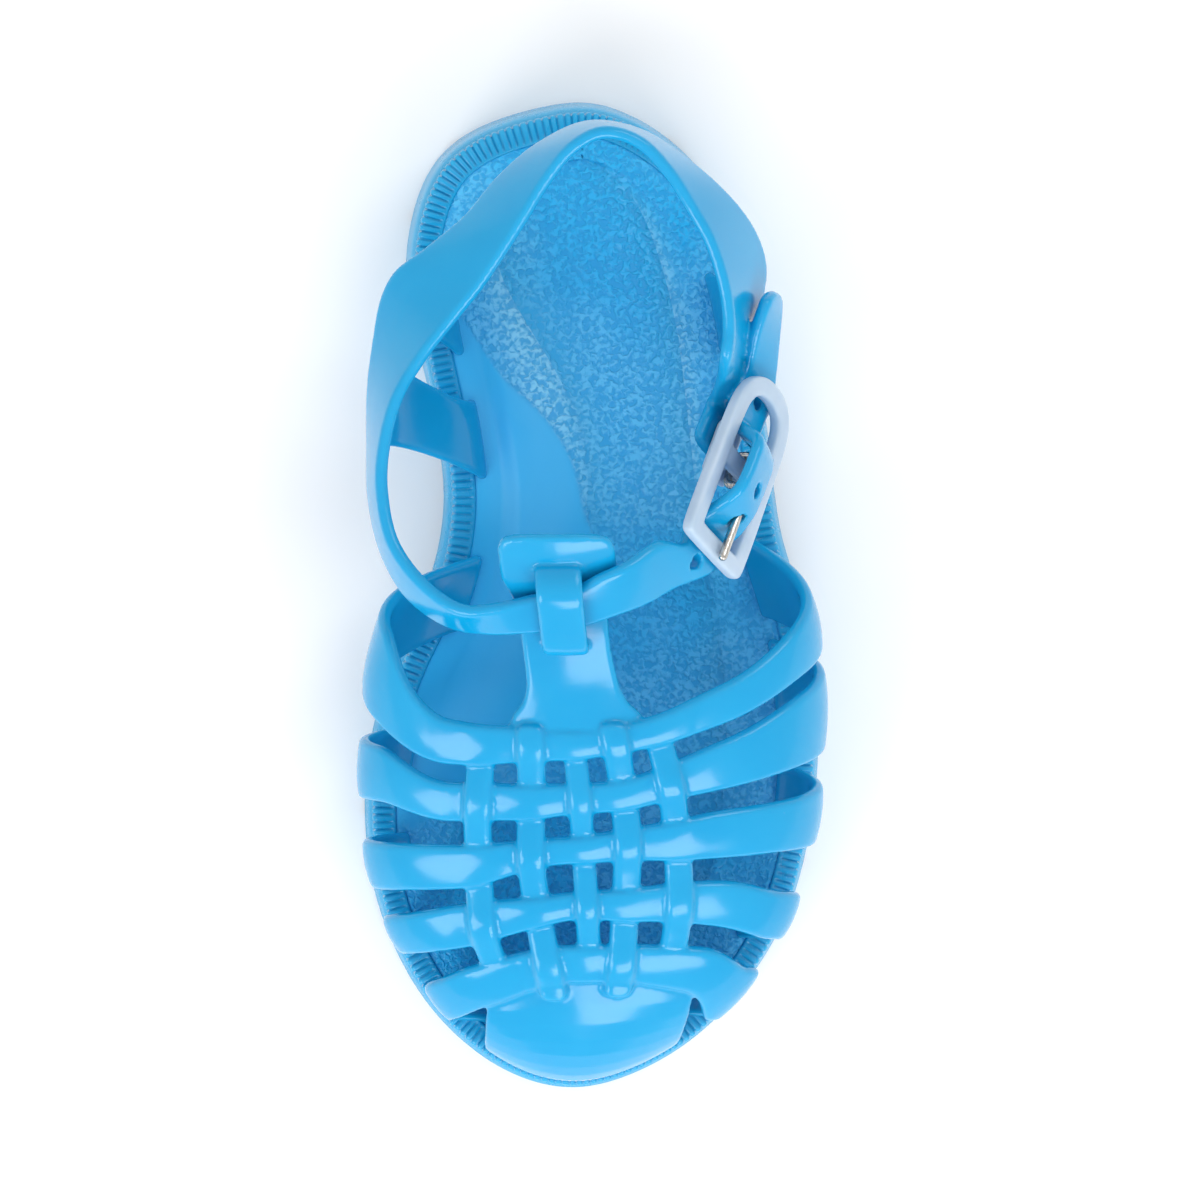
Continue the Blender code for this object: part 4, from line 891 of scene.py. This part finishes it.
def roundedBand(pointsAt, rows, halfWidth, thickness, crown=0.0, ends=(0.0, 0.0), outward=None):
    # A band with rounded edges. Its section follows a surface pointsAt(v), v from -1 to 1 across, and stands
    # off it along the normal. The crown domes the outer side; an end radius rounds an end off.
    flat, level, side, up = (row[None, :] for row in roundedSection())
    halfWidth = np.broadcast_to(np.asarray(halfWidth, float), (rows,))[:, None]
    radius = thickness / 2 * cornerShare
    share = np.minimum(radius / halfWidth, 0.95)
    v = flat * (1 - share) + share * level
    coarse = pointsAt(np.broadcast_to(np.linspace(-1, 1, lattice), (rows, lattice)))
    normals = unit(np.cross(np.gradient(coarse, axis=0), np.gradient(coarse, axis=1)))
    middle = coarse[:, lattice // 2]
    if outward is None:
        centre = np.array([0.0, 1.0, 0.0]) * middle + (0.0, 0.0, sole["forefootRim"])
        outward = middle - centre
    if (normals[:, lattice // 2] * outward).sum() < 0:
        normals = -normals
    run = runAlong(middle)
    narrow, thin = np.ones(rows), np.ones(rows)
    for end, away in zip(ends, (run, run[-1] - run)):
        if end:
            narrow *= endShrink(away, end)
            thin *= endShrink(away, thickness / 2)
    v = v * narrow[:, None]
    place = np.clip((v + 1) / 2 * (lattice - 1), 0, lattice - 1.001)
    index = place.astype(int)
    row = np.arange(rows)[:, None]
    normal = unit(blend(normals[row, index], normals[row, index + 1], (place - index)[..., None]))
    height = side * (thickness / 2 - radius) + radius * up + crown * (1 - v ** 2) * (side > 0)
    return closedGrid(pointsAt(v) + normal * (height * thin[:, None])[..., None])


def halfWidthOf(pointsAt, rows):
    # Half the width of a band at each of its rows
    edges = [pointsAt(np.full((rows, 1), side)) for side in (1.0, -1.0)]
    return np.linalg.norm(edges[0] - edges[1], axis=-1)[:, 0] / 2


def columnTurn(turns, start, end, y):
    # Place round the foot of a column at a place along
    rows = ((end, turns[2]), ((start + end) / 2, turns[1]), (start, turns[0]))
    return steadyTable(rows)(np.asarray(y) / soleLength)


def cageNormals(y, turn):
    # Outward normal of the cage from small steps along and round it
    along = cageSurface(y + 0.0003, turn) - cageSurface(y - 0.0003, turn)
    around = cageSurface(y, turn + 0.004) - cageSurface(y, turn - 0.004)
    return unit(np.cross(around, along))


def strapBand(index):
    back, front = strapEdges[index]
    rootExtra, rows = 0.06, 260
    spread = np.linspace(-1 - rootExtra, 1 + rootExtra, rows)
    turn = np.clip(spread, -1, 1)
    drop = np.clip(np.abs(spread) - 1, 0, None) / rootExtra * (rootRise + rootDepth)

    def pointsAt(v):
        share = (v + 1) / 2
        turns = turn[:, None] + 0 * v
        y = blend(back(turns), front(turns), share) * soleLength
        points = cageSurface(y, turns)
        lift = np.zeros(v.shape)
        for columnTurns, start, end, phase in columnRows:
            column = cageSurface(y, columnTurn(columnTurns, start, end, y))
            away = np.linalg.norm(points - column, axis=-1)
            middle = y.mean(axis=1, keepdims=True) / soleLength
            inside = (middle < start + 0.01) & (middle > end - 0.01)
            over = -phase if index % 2 else phase
            lift += np.where(inside, over, 0.0) * bump(away, cage["columnWidth"])
        points = points + cageNormals(y, turns) * (np.clip(lift, -1, 1) * cage["strapLift"])[..., None]
        return points - np.array([0.0, 0.0, 1.0]) * (drop[:, None] + 0 * v)[..., None]

    return roundedBand(pointsAt, rows, halfWidthOf(pointsAt, rows), wall, cage["strapCrown"])


def columnBand(index):
    turns, start, end, phase = columnRows[index]
    half = (cage["middleColumnWidth"] if index == 2 else cage["columnWidth"]) / 2
    rows = 150
    y = np.linspace(start, end, rows) * soleLength
    turn = columnTurn(turns, start, end, y)
    centre = cageSurface(y, turn)
    sideways = unit(cageSurface(y, turn + 0.02) - cageSurface(y, turn - 0.02))
    lift = np.zeros(rows)
    for strap, (back, front) in enumerate(strapEdges):
        middle = (back(turn) + front(turn)) / 2 * soleLength
        lift += (phase if strap % 2 else -phase) * bump(y - middle, cage["liftReach"])
    lift = np.clip(lift, -1, 1) * cage["columnLift"]
    if phase < 0:
        front = strapEdges[4][1](turn) * soleLength
        lift += cage["capClimb"] * smoothStep(-0.001, 0.003, front - y)
    centre = centre + cageNormals(y, turn) * lift[:, None]

    def pointsAt(v):
        return centre[:, None, :] + sideways[:, None, :] * (v * half)[..., None]

    free = cage["columnEnd"] if phase < 0 else 0.0
    return roundedBand(pointsAt, rows, half, wall, cage["columnCrown"], ends=(free, free))


def toeLine(inset, x):
    # Place along of the toe's outline, moved inwards by an inset, at places across
    ring = denseOutline + denseInward * inset
    front = ring[ring[:, 1] < -0.36 * soleLength]
    front = front[np.argsort(front[:, 0])]
    return np.stack([x, np.interp(x, front[:, 0], front[:, 1])], axis=-1)


def capBand():
    # Toe cap: arcs that rise from the rim and level out under the fifth strap
    rows = 120
    share = np.linspace(0, 1, rows)
    front = strapEdges[4][1]
    turn = partWay(capTop, share)
    y = front(turn) * soleLength + wall * 0.7
    top = cageSurface(y, turn) - cageNormals(y, turn) * cage["capSink"]
    root = toeLine(sole["wallFlare"] + sole["rimWidth"] / 2, partWay(capSides, share) * ballWidth)
    rootHeight = rimTop(root[:, 1]) + clearance + cage["capShelf"] / 3
    last = cage["capAngle"]

    def pointsAt(v):
        angle = (v + 1) / 2 * last
        inward = (1 - np.cos(angle)) / (1 - math.cos(last))
        upward = np.sin(angle) / math.sin(last)
        flat = root[:, None, :] + (top[:, None, :2] - root[:, None, :]) * inward[..., None]
        height = rootHeight[:, None] + (top[:, 2] - rootHeight)[:, None] * upward
        return np.concatenate([flat, height[..., None]], axis=-1)

    return roundedBand(pointsAt, rows, cage["capHalf"], wall, ends=cage["capEnds"])


def shelfBand():
    # Foot of the toe cap over the rim, down to the base band
    rows = 120
    share = np.linspace(0, 1, rows)
    first = sole["wallFlare"] + sole["rimWidth"] / 2

    def pointsAt(v):
        inset = first + (rootInset - first) * (v + 1) / 2
        across = partWay(capSides, share[:, None]) * ballWidth * (1 - 0.6 * (inset - first) / ballWidth)
        rings = np.stack([toeLine(at, across[:, k]) for k, at in enumerate(inset[0])], axis=1)
        rise = 1 - smoothStep(innerEdge, rootInset, inset)
        height = rise * (clearance + cage["capShelf"] / 2) + (1 - rise) * clearance / 2
        height = height + rimTop(rings[..., 1])
        return np.concatenate([rings, height[..., None]], axis=-1)

    return roundedBand(pointsAt, rows, cage["shelfHalf"], cage["capShelf"], ends=cage["shelfEnds"])


def barPoint(y):
    share = y / soleLength
    return np.stack([crestAcross(share) * ballWidth, y, crestHeight(share) * cageHeight], axis=-1)


def barNormal(y):
    along = barPoint(y + 0.0005) - barPoint(y - 0.0005)
    return unit(np.stack([0 * y, -along[..., 2], along[..., 1]], axis=-1))


def besideBar(y, offset, stand):
    # Points by their offset across from the crest and their height over it
    sideways = np.array([1.0, 0.0, 0.0])
    beside = barPoint(y)[:, None, :] + offset[..., None] * sideways
    return beside + barNormal(y)[:, None, :] * stand[..., None]


def barBand():
    # T-bar and head plate on the crest, sagging to either side as a circle does
    rows = 160
    share = np.linspace(barRows[0][0], barRows[-1][0], rows)
    y = share * soleLength
    half = steadyTable(barRows)(share) * ballWidth

    def pointsAt(v):
        offset = v * half[:, None]
        return besideBar(y, offset, -offset ** 2 / (2 * cage["barRound"]))

    return roundedBand(pointsAt, rows, half, wall * 0.9, ends=(0.0, cage["barEnd"]))


def keeperBand():
    # Keeper: leaves the head plate, bridges the ankle strap and comes down on the T-bar
    rows = 110
    t = np.linspace(0, 1, rows)
    y = partWay(cage["keeperWay"], t) * soleLength
    rise = clearance * 2 + (cage["keeperRise"] - clearance * 2) * (1 - np.abs(2 * t - 1) ** 6)
    half = cage["keeperWidth"] / 2

    def pointsAt(v):
        offset = v * half
        return besideBar(y, offset, rise[:, None] - offset ** 2 / (2 * cage["barRound"]))

    return roundedBand(pointsAt, rows, half, wall, ends=(cage["keeperEnd"],) * 2)


def makeVamp():
    parts = [strapBand(index) for index in range(len(strapRows))]
    parts += [columnBand(index) for index in range(len(columnRows))]
    parts += [capBand(), shelfBand(), barBand(), keeperBand()]
    mesh = mouldTogether("cageVamp", parts, cage["voxel"], cage["passes"])
    edgeAttribute(mesh, edgeReach["cage"])
    addPiece("cageVamp", mesh, upperPlastic, "upper")


makeVamp()

# Buckle: its middle as shares of the sizes, and the directions of its length and of its width
buckle = {
    "place": (0.298, 0.1465, 0.692),
    "along": (0.34, 0.84, -0.42),
    "down": (0.486, -0.539, -0.685),
    "length": 0.0302,
    "width": 0.0170,
    "bar": 0.0031,
    "thickness": 0.0022,
    "web": 0.0032,
    "prongDiameter": 0.0014,
    "prongReach": 0.485,
    "prongSide": 0.02,
    "prongWay": (-0.40, 0.10),     # where the strap is opened for the prong, along the buckle
    "prongRoom": 0.0004,
    "plateThickness": 0.0012,
    "plateLength": 0.0096,
    "plateWidth": 0.0064,
    "rivetDiameter": 0.0024,
    "rivetHead": 0.0044,
    "rivetPlace": 0.20,
    "headShare": 0.8,
    "lugHalf": 0.11,          # shares of the plate's width
    "lugPlace": 0.36,
    "tabDrop": 0.0064,
    "tabWidth": 0.0104,
    "voxel": 0.00024,
    "plateVoxel": 0.0002,
    "passes": 3,
}
buckleCentre = np.array(buckle["place"]) * (ballWidth, soleLength, cageHeight)
alongAxis = unit(np.array(buckle["along"]))
downAxis = np.array(buckle["down"])
downAxis = unit(downAxis - alongAxis * (downAxis @ alongAxis))
outAxis = np.cross(downAxis, alongAxis)


def inBuckle(along, down, out):
    # Places given along, down and out from the buckle's middle
    along, down, out = np.broadcast_arrays(along, down, out)
    along, down, out = along[..., None], down[..., None], out[..., None]
    return buckleCentre + along * alongAxis + down * downAxis + out * outAxis


# Ankle strap: upper and lower edge of its route, as shares of ball width, length and cage height
ankle = {
    "width": 0.0094,
    # Over the buckle, shares of the height over it: rise of the upper edge, drop of the lower, shift of both
    "rise": 0.30,
    "drop": 0.42,
    "shift": 0.34,
    "hole": 0.0024,
    "crown": 0.0002,
    "ends": (0.0016, 0.0012),
    "voxel": 0.00034,
    "passes": 2,
}
ankleRoute = (
    ((0.115, 0.083, 0.893), (0.156, 0.036, 0.782)),
    ((0.049, 0.065, 0.942), (0.086, 0.021, 0.838)),
    ((-0.011, 0.053, 0.950), (0.014, 0.010, 0.872)),
    ((-0.069, 0.039, 0.934), (-0.061, -0.001, 0.862)),
    ((-0.147, 0.032, 0.912), (-0.153, -0.006, 0.846)),
    ((-0.222, 0.022, 0.895), (-0.243, -0.008, 0.800)),
    ((-0.299, 0.019, 0.872), (-0.326, -0.001, 0.733)),
    ((-0.378, 0.043, 0.830), (-0.407, 0.025, 0.687)),
    ((-0.439, 0.081, 0.793), (-0.458, 0.067, 0.643)),
    ((-0.461, 0.128, 0.770), (-0.483, 0.119, 0.603)),
    ((-0.457, 0.170, 0.763), (-0.485, 0.173, 0.570)),
    ((-0.428, 0.218, 0.763), (-0.485, 0.226, 0.560)),
    ((-0.375, 0.258, 0.770), (-0.475, 0.272, 0.567)),
    ((-0.314, 0.293, 0.783), (-0.461, 0.312, 0.587)),
    ((-0.254, 0.327, 0.803), (-0.431, 0.340, 0.617)),
    ((-0.203, 0.362, 0.828), (-0.367, 0.362, 0.657)),
    ((-0.157, 0.397, 0.853), (-0.285, 0.393, 0.687)),
    ((-0.114, 0.431, 0.878), (-0.214, 0.431, 0.700)),
    ((-0.061, 0.463, 0.900), (-0.128, 0.463, 0.707)),
    ((0.003, 0.478, 0.907), (-0.025, 0.483, 0.708)),
    ((0.075, 0.468, 0.897), (0.086, 0.474, 0.705)),
    ((0.136, 0.438, 0.873), (0.183, 0.446, 0.683)),
    ((0.183, 0.403, 0.843), (0.267, 0.413, 0.633)),
    ((0.217, 0.376, 0.833), (0.322, 0.381, 0.567)),
    ((0.241, 0.347, 0.817), (0.350, 0.347, 0.525)),
    ((0.258, 0.316, 0.800), (0.345, 0.314, 0.517)),
    ((0.264, 0.286, 0.783), (0.326, 0.282, 0.533)),
    ((0.257, 0.255, 0.767), (0.302, 0.244, 0.550)),
)
tailRoute = (
    ((0.358, 0.322, 0.653), (0.376, 0.320, 0.587)),
    ((0.346, 0.310, 0.687), (0.383, 0.307, 0.543)),
    ((0.324, 0.281, 0.670), (0.381, 0.277, 0.533)),
)
# The strap over the buckle's middle plane: share of the buckle's length, height in strap thicknesses
strapOverBuckle = (
    (-0.510, -1.30), (-0.410, -1.38), (-0.350, -0.75), (-0.290, 0.30), (-0.235, 1.35), (-0.180, 2.00),
    (-0.090, 2.22), (0.000, 2.25), (0.050, 2.24), (0.095, 1.95), (0.140, 0.95), (0.185, -0.30),
    (0.230, -1.20), (0.275, -1.45), (0.370, -1.44), (0.480, -1.38),
)
tabRows = (0.32, 0.20, 0.10, 0.055)
tabTaper = (1.0, 1.0, 1.0, 0.72)
# Holes of the strap: along and down the buckle, height over it in strap thicknesses
strapHoles = ((-0.540, -0.02, -1.25), (-0.120, -0.045, 2.0), (0.150, 0.00, 0.55), (0.400, 0.03, -1.44))
# Legs: first and last row of the strap's route they hang from, roots along the sole, on the outer side or not
legRows = (
    (9.8, 12.0, 0.1245, 0.206, False),
    (12.6, 15.0, 0.2495, 0.322, False),
    (23.56, 25.1, 0.333, 0.252, True),
    (25.6, 27.4, 0.236, 0.170, True),
)


def strapRoute():
    # Both edges of the strap from its tail through the buckle, round the ankle and heel, to the tab
    scale = np.array([ballWidth, soleLength, cageHeight])
    tail = np.array(tailRoute) * scale
    along, lift = np.array(strapOverBuckle[::-1]).T
    along, out = along * buckle["length"], lift * wall
    above = np.maximum(out, 0.0)
    shift = ankle["shift"] * above
    half = ankle["width"] / 2
    over = np.stack([inBuckle(along, -half - shift, out + ankle["rise"] * above),
                     inBuckle(along, half - shift, out - ankle["drop"] * above)], axis=1)
    tabAlong = np.array(tabRows) * buckle["length"]
    tabHalf = np.array(tabTaper) * buckle["tabWidth"] / 2
    drop = -buckle["tabDrop"]
    tab = np.stack([inBuckle(tabAlong, -tabHalf, drop), inBuckle(tabAlong, tabHalf, drop)], axis=1)
    return np.concatenate([tail, over, np.array(ankleRoute) * scale, tab]), len(tail) + len(over)


routeSteps = 24
route, firstAnkleRow = strapRoute()
routeCurve = throughPoints(route.reshape(len(route), 6), steps=routeSteps).reshape(-1, 2, 3)


def ankleBand():
    middle = routeCurve.mean(axis=1)
    run = runAlong(middle)
    rows = 900
    even = np.linspace(0, run[-1], rows)
    edges = np.stack([np.interp(even, run, values) for values in routeCurve.reshape(-1, 6).T])
    upper, lower = edges[:3].T, edges[3:].T

    def pointsAt(v):
        return blend(upper[:, None, :], lower[:, None, :], ((v + 1) / 2)[..., None])

    return roundedBand(pointsAt, rows, halfWidthOf(pointsAt, rows), wall, ankle["crown"], ends=ankle["ends"])


def routePoint(row, share):
    # Point of the strap at a row of its route, from the upper edge (0) to the lower edge (1)
    place = np.minimum(row * routeSteps, len(routeCurve) - 1.001)
    index = place.astype(int)
    pair = blend(routeCurve[index], routeCurve[index + 1], (place - index)[..., None, None])
    return blend(pair[..., 0, :], pair[..., 1, :], share)


# Shares: narrowing at mid height, place across the strap, and how straight a leg starts and ends
leg = {"pinch": 0.22, "across": 0.62, "start": 0.30, "end": 0.48}


def legBand(firstRow, lastRow, rootToe, rootHeel, outer):
    # A Bezier from the root, straight up at first, that runs on into the strap in the strap's own direction
    rows = 110
    t = np.linspace(0, 1, rows)[:, None]
    weights = [weight[..., None] for weight in bezierWeights(t)]

    def pointsAt(v):
        pinch = 0.5 + v / 2 * (1 - leg["pinch"] * np.sin(math.pi * t))
        hang = firstAnkleRow + firstRow + (lastRow - firstRow) * pinch
        top = routePoint(hang, leg["across"])
        way = unit(routePoint(hang, 1.0) - routePoint(hang, 0.0))
        y = (rootToe + (rootHeel - rootToe) * pinch) * soleLength
        root = np.stack([rootSides(y)[1 if outer else 0], y, rimTop(y) - rootDepth], axis=-1)
        start = root + np.array([0.0, 0.0, leg["start"]]) * (top[..., 2:] - root[..., 2:])
        end = top + way * np.linalg.norm(top - root, axis=-1, keepdims=True) * leg["end"]
        return weights[0] * root + weights[1] * start + weights[2] * end + weights[3] * top

    return roundedBand(pointsAt, rows, halfWidthOf(pointsAt, rows), wall * 0.9, ankle["crown"])


def tubePart(path, radius, sides=20, domed=False):
    # Round bar along a path of points: circles in planes square to it, closed flat or with a dome at each end
    path = np.asarray(path, float)
    along = unit(np.gradient(path, axis=0))
    guide = np.array([0.31, 0.47, 0.83])
    first = unit(guide - along * (along @ guide)[:, None])
    second = np.cross(along, first)
    radii = np.full(len(path), radius)
    if domed:
        rise = np.radians(np.linspace(8, 82, 6))
        caps = radius * np.sin(rise)
        front, back = path[0] - along[0] * caps[::-1, None], path[-1] + along[-1] * caps[:, None]
        path = np.vstack([front, path, back])
        radii = np.concatenate([radius * np.cos(rise[::-1]), radii, radius * np.cos(rise)])
        ends = ((len(rise), len(rise)), (0, 0))
        first, second = (np.pad(axis, ends, mode="edge") for axis in (first, second))
    angle = np.linspace(0, 2 * math.pi, sides, endpoint=False)
    cosine, sine = np.cos(angle)[None, :, None], np.sin(angle)[None, :, None]
    circle = first[:, None, :] * cosine + second[:, None, :] * sine
    return closedGrid(path[:, None, :] + circle * radii[:, None, None])


def cutHoles(part, cutters):
    # The part with its holes cut one after the other, as points and faces again
    strap = addObject("strapWhole", mendMesh(meshFrom("strapWhole", *part)))
    tools = []
    for index, cutter in enumerate(cutters):
        name = f"strapCutter{index + 1}"
        tools.append(addObject(name, mendMesh(meshFrom(name, *cutter))))
        cut = strap.modifiers.new(name, "BOOLEAN")
        cut.operation = "DIFFERENCE"
        cut.solver = "EXACT"
        cut.object = tools[-1]
    mesh = evaluatedMesh(strap)
    for tool in tools:
        bpy.data.objects.remove(tool, do_unlink=True)
    return meshPoints(mesh), [list(face.vertices) for face in mesh.polygons]


def makeQuarter():
    length, width, wire = buckle["length"], buckle["width"], buckle["prongDiameter"] / 2
    depth = wall * np.array([-0.95, 0.95])
    cutters = [tubePart(inBuckle(along * length, down * width, level * wall + depth), ankle["hole"] / 2)
               for along, down, level in strapHoles]
    way = np.array(buckle["prongWay"]) * length
    rise = buckle["thickness"] / 2 + clearance + wire
    cutters.append(tubePart(inBuckle(way, buckle["prongSide"] * width, rise), wire + buckle["prongRoom"]))
    cutters.append(tubePart(inBuckle(buckle["rivetPlace"] * length, 0.0, -buckle["tabDrop"] + depth),
                            buckle["rivetDiameter"] / 2 + clearance))
    parts = [cutHoles(ankleBand(), cutters)] + [legBand(*row) for row in legRows]
    mesh = mouldTogether("cageQuarter", parts, ankle["voxel"], ankle["passes"])
    edgeAttribute(mesh, edgeReach["cage"])
    addPiece("cageQuarter", mesh, upperPlastic, "upper")


makeQuarter()

# Outline of the buckle, shares of length and width: one side from back to front, then its mirror image
buckleSide = (
    (0.500, 0.00), (0.492, 0.14), (0.462, 0.27), (0.405, 0.38), (0.31, 0.455), (0.16, 0.485), (-0.02, 0.49),
    (-0.22, 0.50), (-0.40, 0.50), (-0.468, 0.485), (-0.495, 0.42), (-0.50, 0.20), (-0.50, 0.00),
)
buckleOutline = buckleSide + tuple((along, -down) for along, down in buckleSide[-2:0:-1])


def offsetLoop(loop, distance):
    ahead = unit(np.roll(loop, -1, axis=0) - np.roll(loop, 1, axis=0))
    return loop + np.column_stack([-ahead[:, 1], ahead[:, 0]]) * distance


def softRectangle(halfAcross, halfThick, power=4.0, count=28):
    # Once round a superellipse: the powers of both coordinates add up to one
    angle = np.linspace(0, 2 * math.pi, count, endpoint=False)
    cosine, sine = np.cos(angle), np.sin(angle)
    return (halfAcross * np.sign(cosine) * np.abs(cosine) ** (2 / power),
            halfThick * np.sign(sine) * np.abs(sine) ** (2 / power))


def makeBuckle():
    # Frame: a soft rectangle carried round between the outer and inner outline, and a web across the middle
    size = np.array([buckle["length"], buckle["width"]])
    corners = np.array(buckleOutline) * size
    outer = throughPoints(corners, closed=True, steps=12)
    inner = throughPoints(offsetLoop(corners, buckle["bar"]), closed=True, steps=12)
    middle, reach = (outer + inner) / 2, (outer - inner) / 2
    across, out = softRectangle(1.0, buckle["thickness"] / 2)
    flat = middle[:, None, :] + reach[:, None, :] * across[None, :, None]
    points = inBuckle(flat[..., 0], flat[..., 1], np.broadcast_to(out, flat.shape[:2]))
    faces = gridFaces(len(outer), len(across), wrapColumns=True, wrapRows=True).tolist()
    webAcross, webOut = softRectangle(buckle["web"] / 2, buckle["thickness"] / 2 * 0.9)
    webDown = np.linspace(-1, 1, 30)[:, None] * (buckle["width"] / 2 - buckle["bar"] * 0.5)
    web = closedGrid(inBuckle(webAcross[None, :], webDown, webOut[None, :]))
    parts = [(points.reshape(-1, 3), faces), web]
    mesh = mouldTogether("buckleFrame", parts, buckle["voxel"], buckle["passes"])
    edgeAttribute(mesh, edgeReach["buckle"])
    addPiece("buckleFrame", mesh, buckleMilky, "buckle_frame")


def makePlate():
    # Plate over the tab: a rounded sheet, two lugs up to the web and a domed rivet through the tab
    thick = buckle["plateThickness"]
    level = -buckle["tabDrop"] + wall / 2 + clearance + thick / 2
    half = np.array([buckle["plateLength"], buckle["plateWidth"]]) / 2
    rows = 60
    along = np.linspace(-1, 1, rows) * half[0]
    centreAlong = half[0] - buckle["web"] / 2

    def pointsAt(v):
        return inBuckle((along + centreAlong)[:, None] + 0 * v, v * half[1], level)

    outward = np.broadcast_to(outAxis, (rows, 3))
    parts = [roundedBand(pointsAt, rows, half[1], thick, ends=(0.0, 0.0022), outward=outward)]
    top = -buckle["thickness"] / 2 - clearance
    for side in (-1, 1):
        lugAcross, lugDown = softRectangle(buckle["web"] * 0.4, buckle["plateWidth"] * buckle["lugHalf"])
        outs = np.linspace(level, top, 24)[:, None]
        down = lugDown[None, :] + side * buckle["plateWidth"] * buckle["lugPlace"]
        parts.append(closedGrid(inBuckle(lugAcross[None, :], down, outs)))
    at = buckle["rivetPlace"] * buckle["length"]
    under = -buckle["tabDrop"] - wall / 2 - clearance
    head = thick * buckle["headShare"]
    shank = inBuckle(at, 0.0, np.linspace(level, under - head / 2, 12))
    parts.append(tubePart(shank, buckle["rivetDiameter"] / 2))
    # The rivet's head: flat inside its edge, then a dome
    angle = np.radians(np.linspace(2, 88, 14))[:, None]
    turn = np.linspace(0, 2 * math.pi, 40, endpoint=False)[None, :]
    radius = buckle["rivetHead"] / 2 * np.concatenate([[[0.02]], [[0.97]], np.cos(angle[:-1]), [[0.02]]])
    outs = np.concatenate([[[under]], [[under]], under - head * np.sin(angle[:-1]), [[under - head]]])
    dome = inBuckle(at + radius * np.cos(turn), radius * np.sin(turn), outs + 0 * turn)
    parts.append(closedGrid(dome))
    mesh = mouldTogether("bucklePlate", parts, buckle["plateVoxel"], buckle["passes"])
    edgeAttribute(mesh, edgeReach["buckle"])
    addPiece("bucklePlate", mesh, buckleMilky, "buckle_plate")


# Way of the wire round the web: shares of its reach and of its rise
prongTurns = (
    (-1.0, -0.2), (-0.88, -0.75), (-0.4, -1.0), (0.4, -1.0), (0.86, -0.78), (1.0, -0.2), (1.0, 0.35),
    (0.8, 0.85), (0.35, 1.0), (-1.0, 1.0),
)


def makeProng():
    # Wire that loops round the web and lies forward over the front bar
    radius = buckle["prongDiameter"] / 2
    reach = buckle["web"] / 2 + clearance + radius
    rise = buckle["thickness"] / 2 + clearance + radius
    length = buckle["length"]
    turns = [(reach * along, rise * out) for along, out in prongTurns]
    turns += [(-length * along, rise) for along in (0.25, 0.40, buckle["prongReach"])]
    path = throughPoints(turns, steps=10)
    wire = inBuckle(path[:, 0], buckle["prongSide"] * buckle["width"], path[:, 1])
    mesh = mendMesh(meshFrom("prongWire", *tubePart(wire, radius, 24, domed=True)))
    addPiece("prongWire", mesh, prongSteel, "buckle_prong")


makeBuckle()
makePlate()
makeProng()
print("buckle made")

# Studio: pale floor, even white surroundings, large soft panels, and the camera at the photograph's place
studio = {
    "camera": (-0.03775, 0.1004, 1.0958),
    "aim": (0.0005, 0.0015, 0.025),
    "lens": 208.0,
    "sensor": 36.0,
    "floorSize": 3.0,
    "worldColour": (1.0, 1.0, 1.0),
    "worldStrength": 0.86,
}
# Panels: place, aim, width, height, power in watts
panels = (
    ((-0.62, -0.62, 0.62), (0.0, 0.0, 0.02), 0.46, 0.50, 3.7),
    ((0.28, -0.80, 0.64), (0.0, 0.0, 0.02), 0.58, 0.40, 4.0),
    ((0.55, 0.60, 0.74), (0.0, 0.0, 0.02), 0.50, 0.50, 2.0),
)


def aimed(place, target, up):
    forward = (Vector(target) - Vector(place)).normalized()
    right = forward.cross(Vector(up)).normalized()
    turn = Matrix((right, right.cross(forward), -forward)).transposed().to_4x4()
    return Matrix.Translation(place) @ turn


def makeStudio():
    size = studio["floorSize"]
    corners = [(-size, -size, 0), (size, -size, 0), (size, size, 0), (-size, size, 0)]
    mesh = meshFrom("paleFloor", corners, [(0, 1, 2, 3)])
    material, tree, shader = startMaterial("floorPaper", {"Roughness": 0.65, "Specular IOR Level": 0.3})
    cloud = noiseOf(tree, placeOf(tree), 3.0, 2.0)
    fillSockets(tree, shader, {"Base Color": mixColour(tree, cloud, colours["floor"], colours["floorPale"])})
    mesh.materials.append(material)
    addObject("paleFloor", mesh)
    world = bpy.data.worlds.new("softSurroundings")
    bpy.context.scene.world = world
    world.use_nodes = True
    background = world.node_tree.nodes["Background"]
    background.inputs["Color"].default_value = (*studio["worldColour"], 1)
    background.inputs["Strength"].default_value = studio["worldStrength"]
    for index, (place, target, width, height, power) in enumerate(panels):
        light = bpy.data.lights.new(f"panel{index + 1}", "AREA")
        light.shape = "RECTANGLE"
        light.size, light.size_y, light.energy = width, height, power
        addObject(light.name, light).matrix_world = aimed(place, target, (0, 0, 1))
    lens = bpy.data.cameras.new("camera")
    lens.lens, lens.sensor_width = studio["lens"], studio["sensor"]
    lens.clip_start, lens.clip_end = 0.01, 20.0
    camera = addObject("camera", lens)
    camera.matrix_world = aimed(studio["camera"], studio["aim"], (0, 1, 0))
    bpy.context.scene.camera = camera
    bpy.context.scene.view_settings.view_transform = "Standard"


makeStudio()
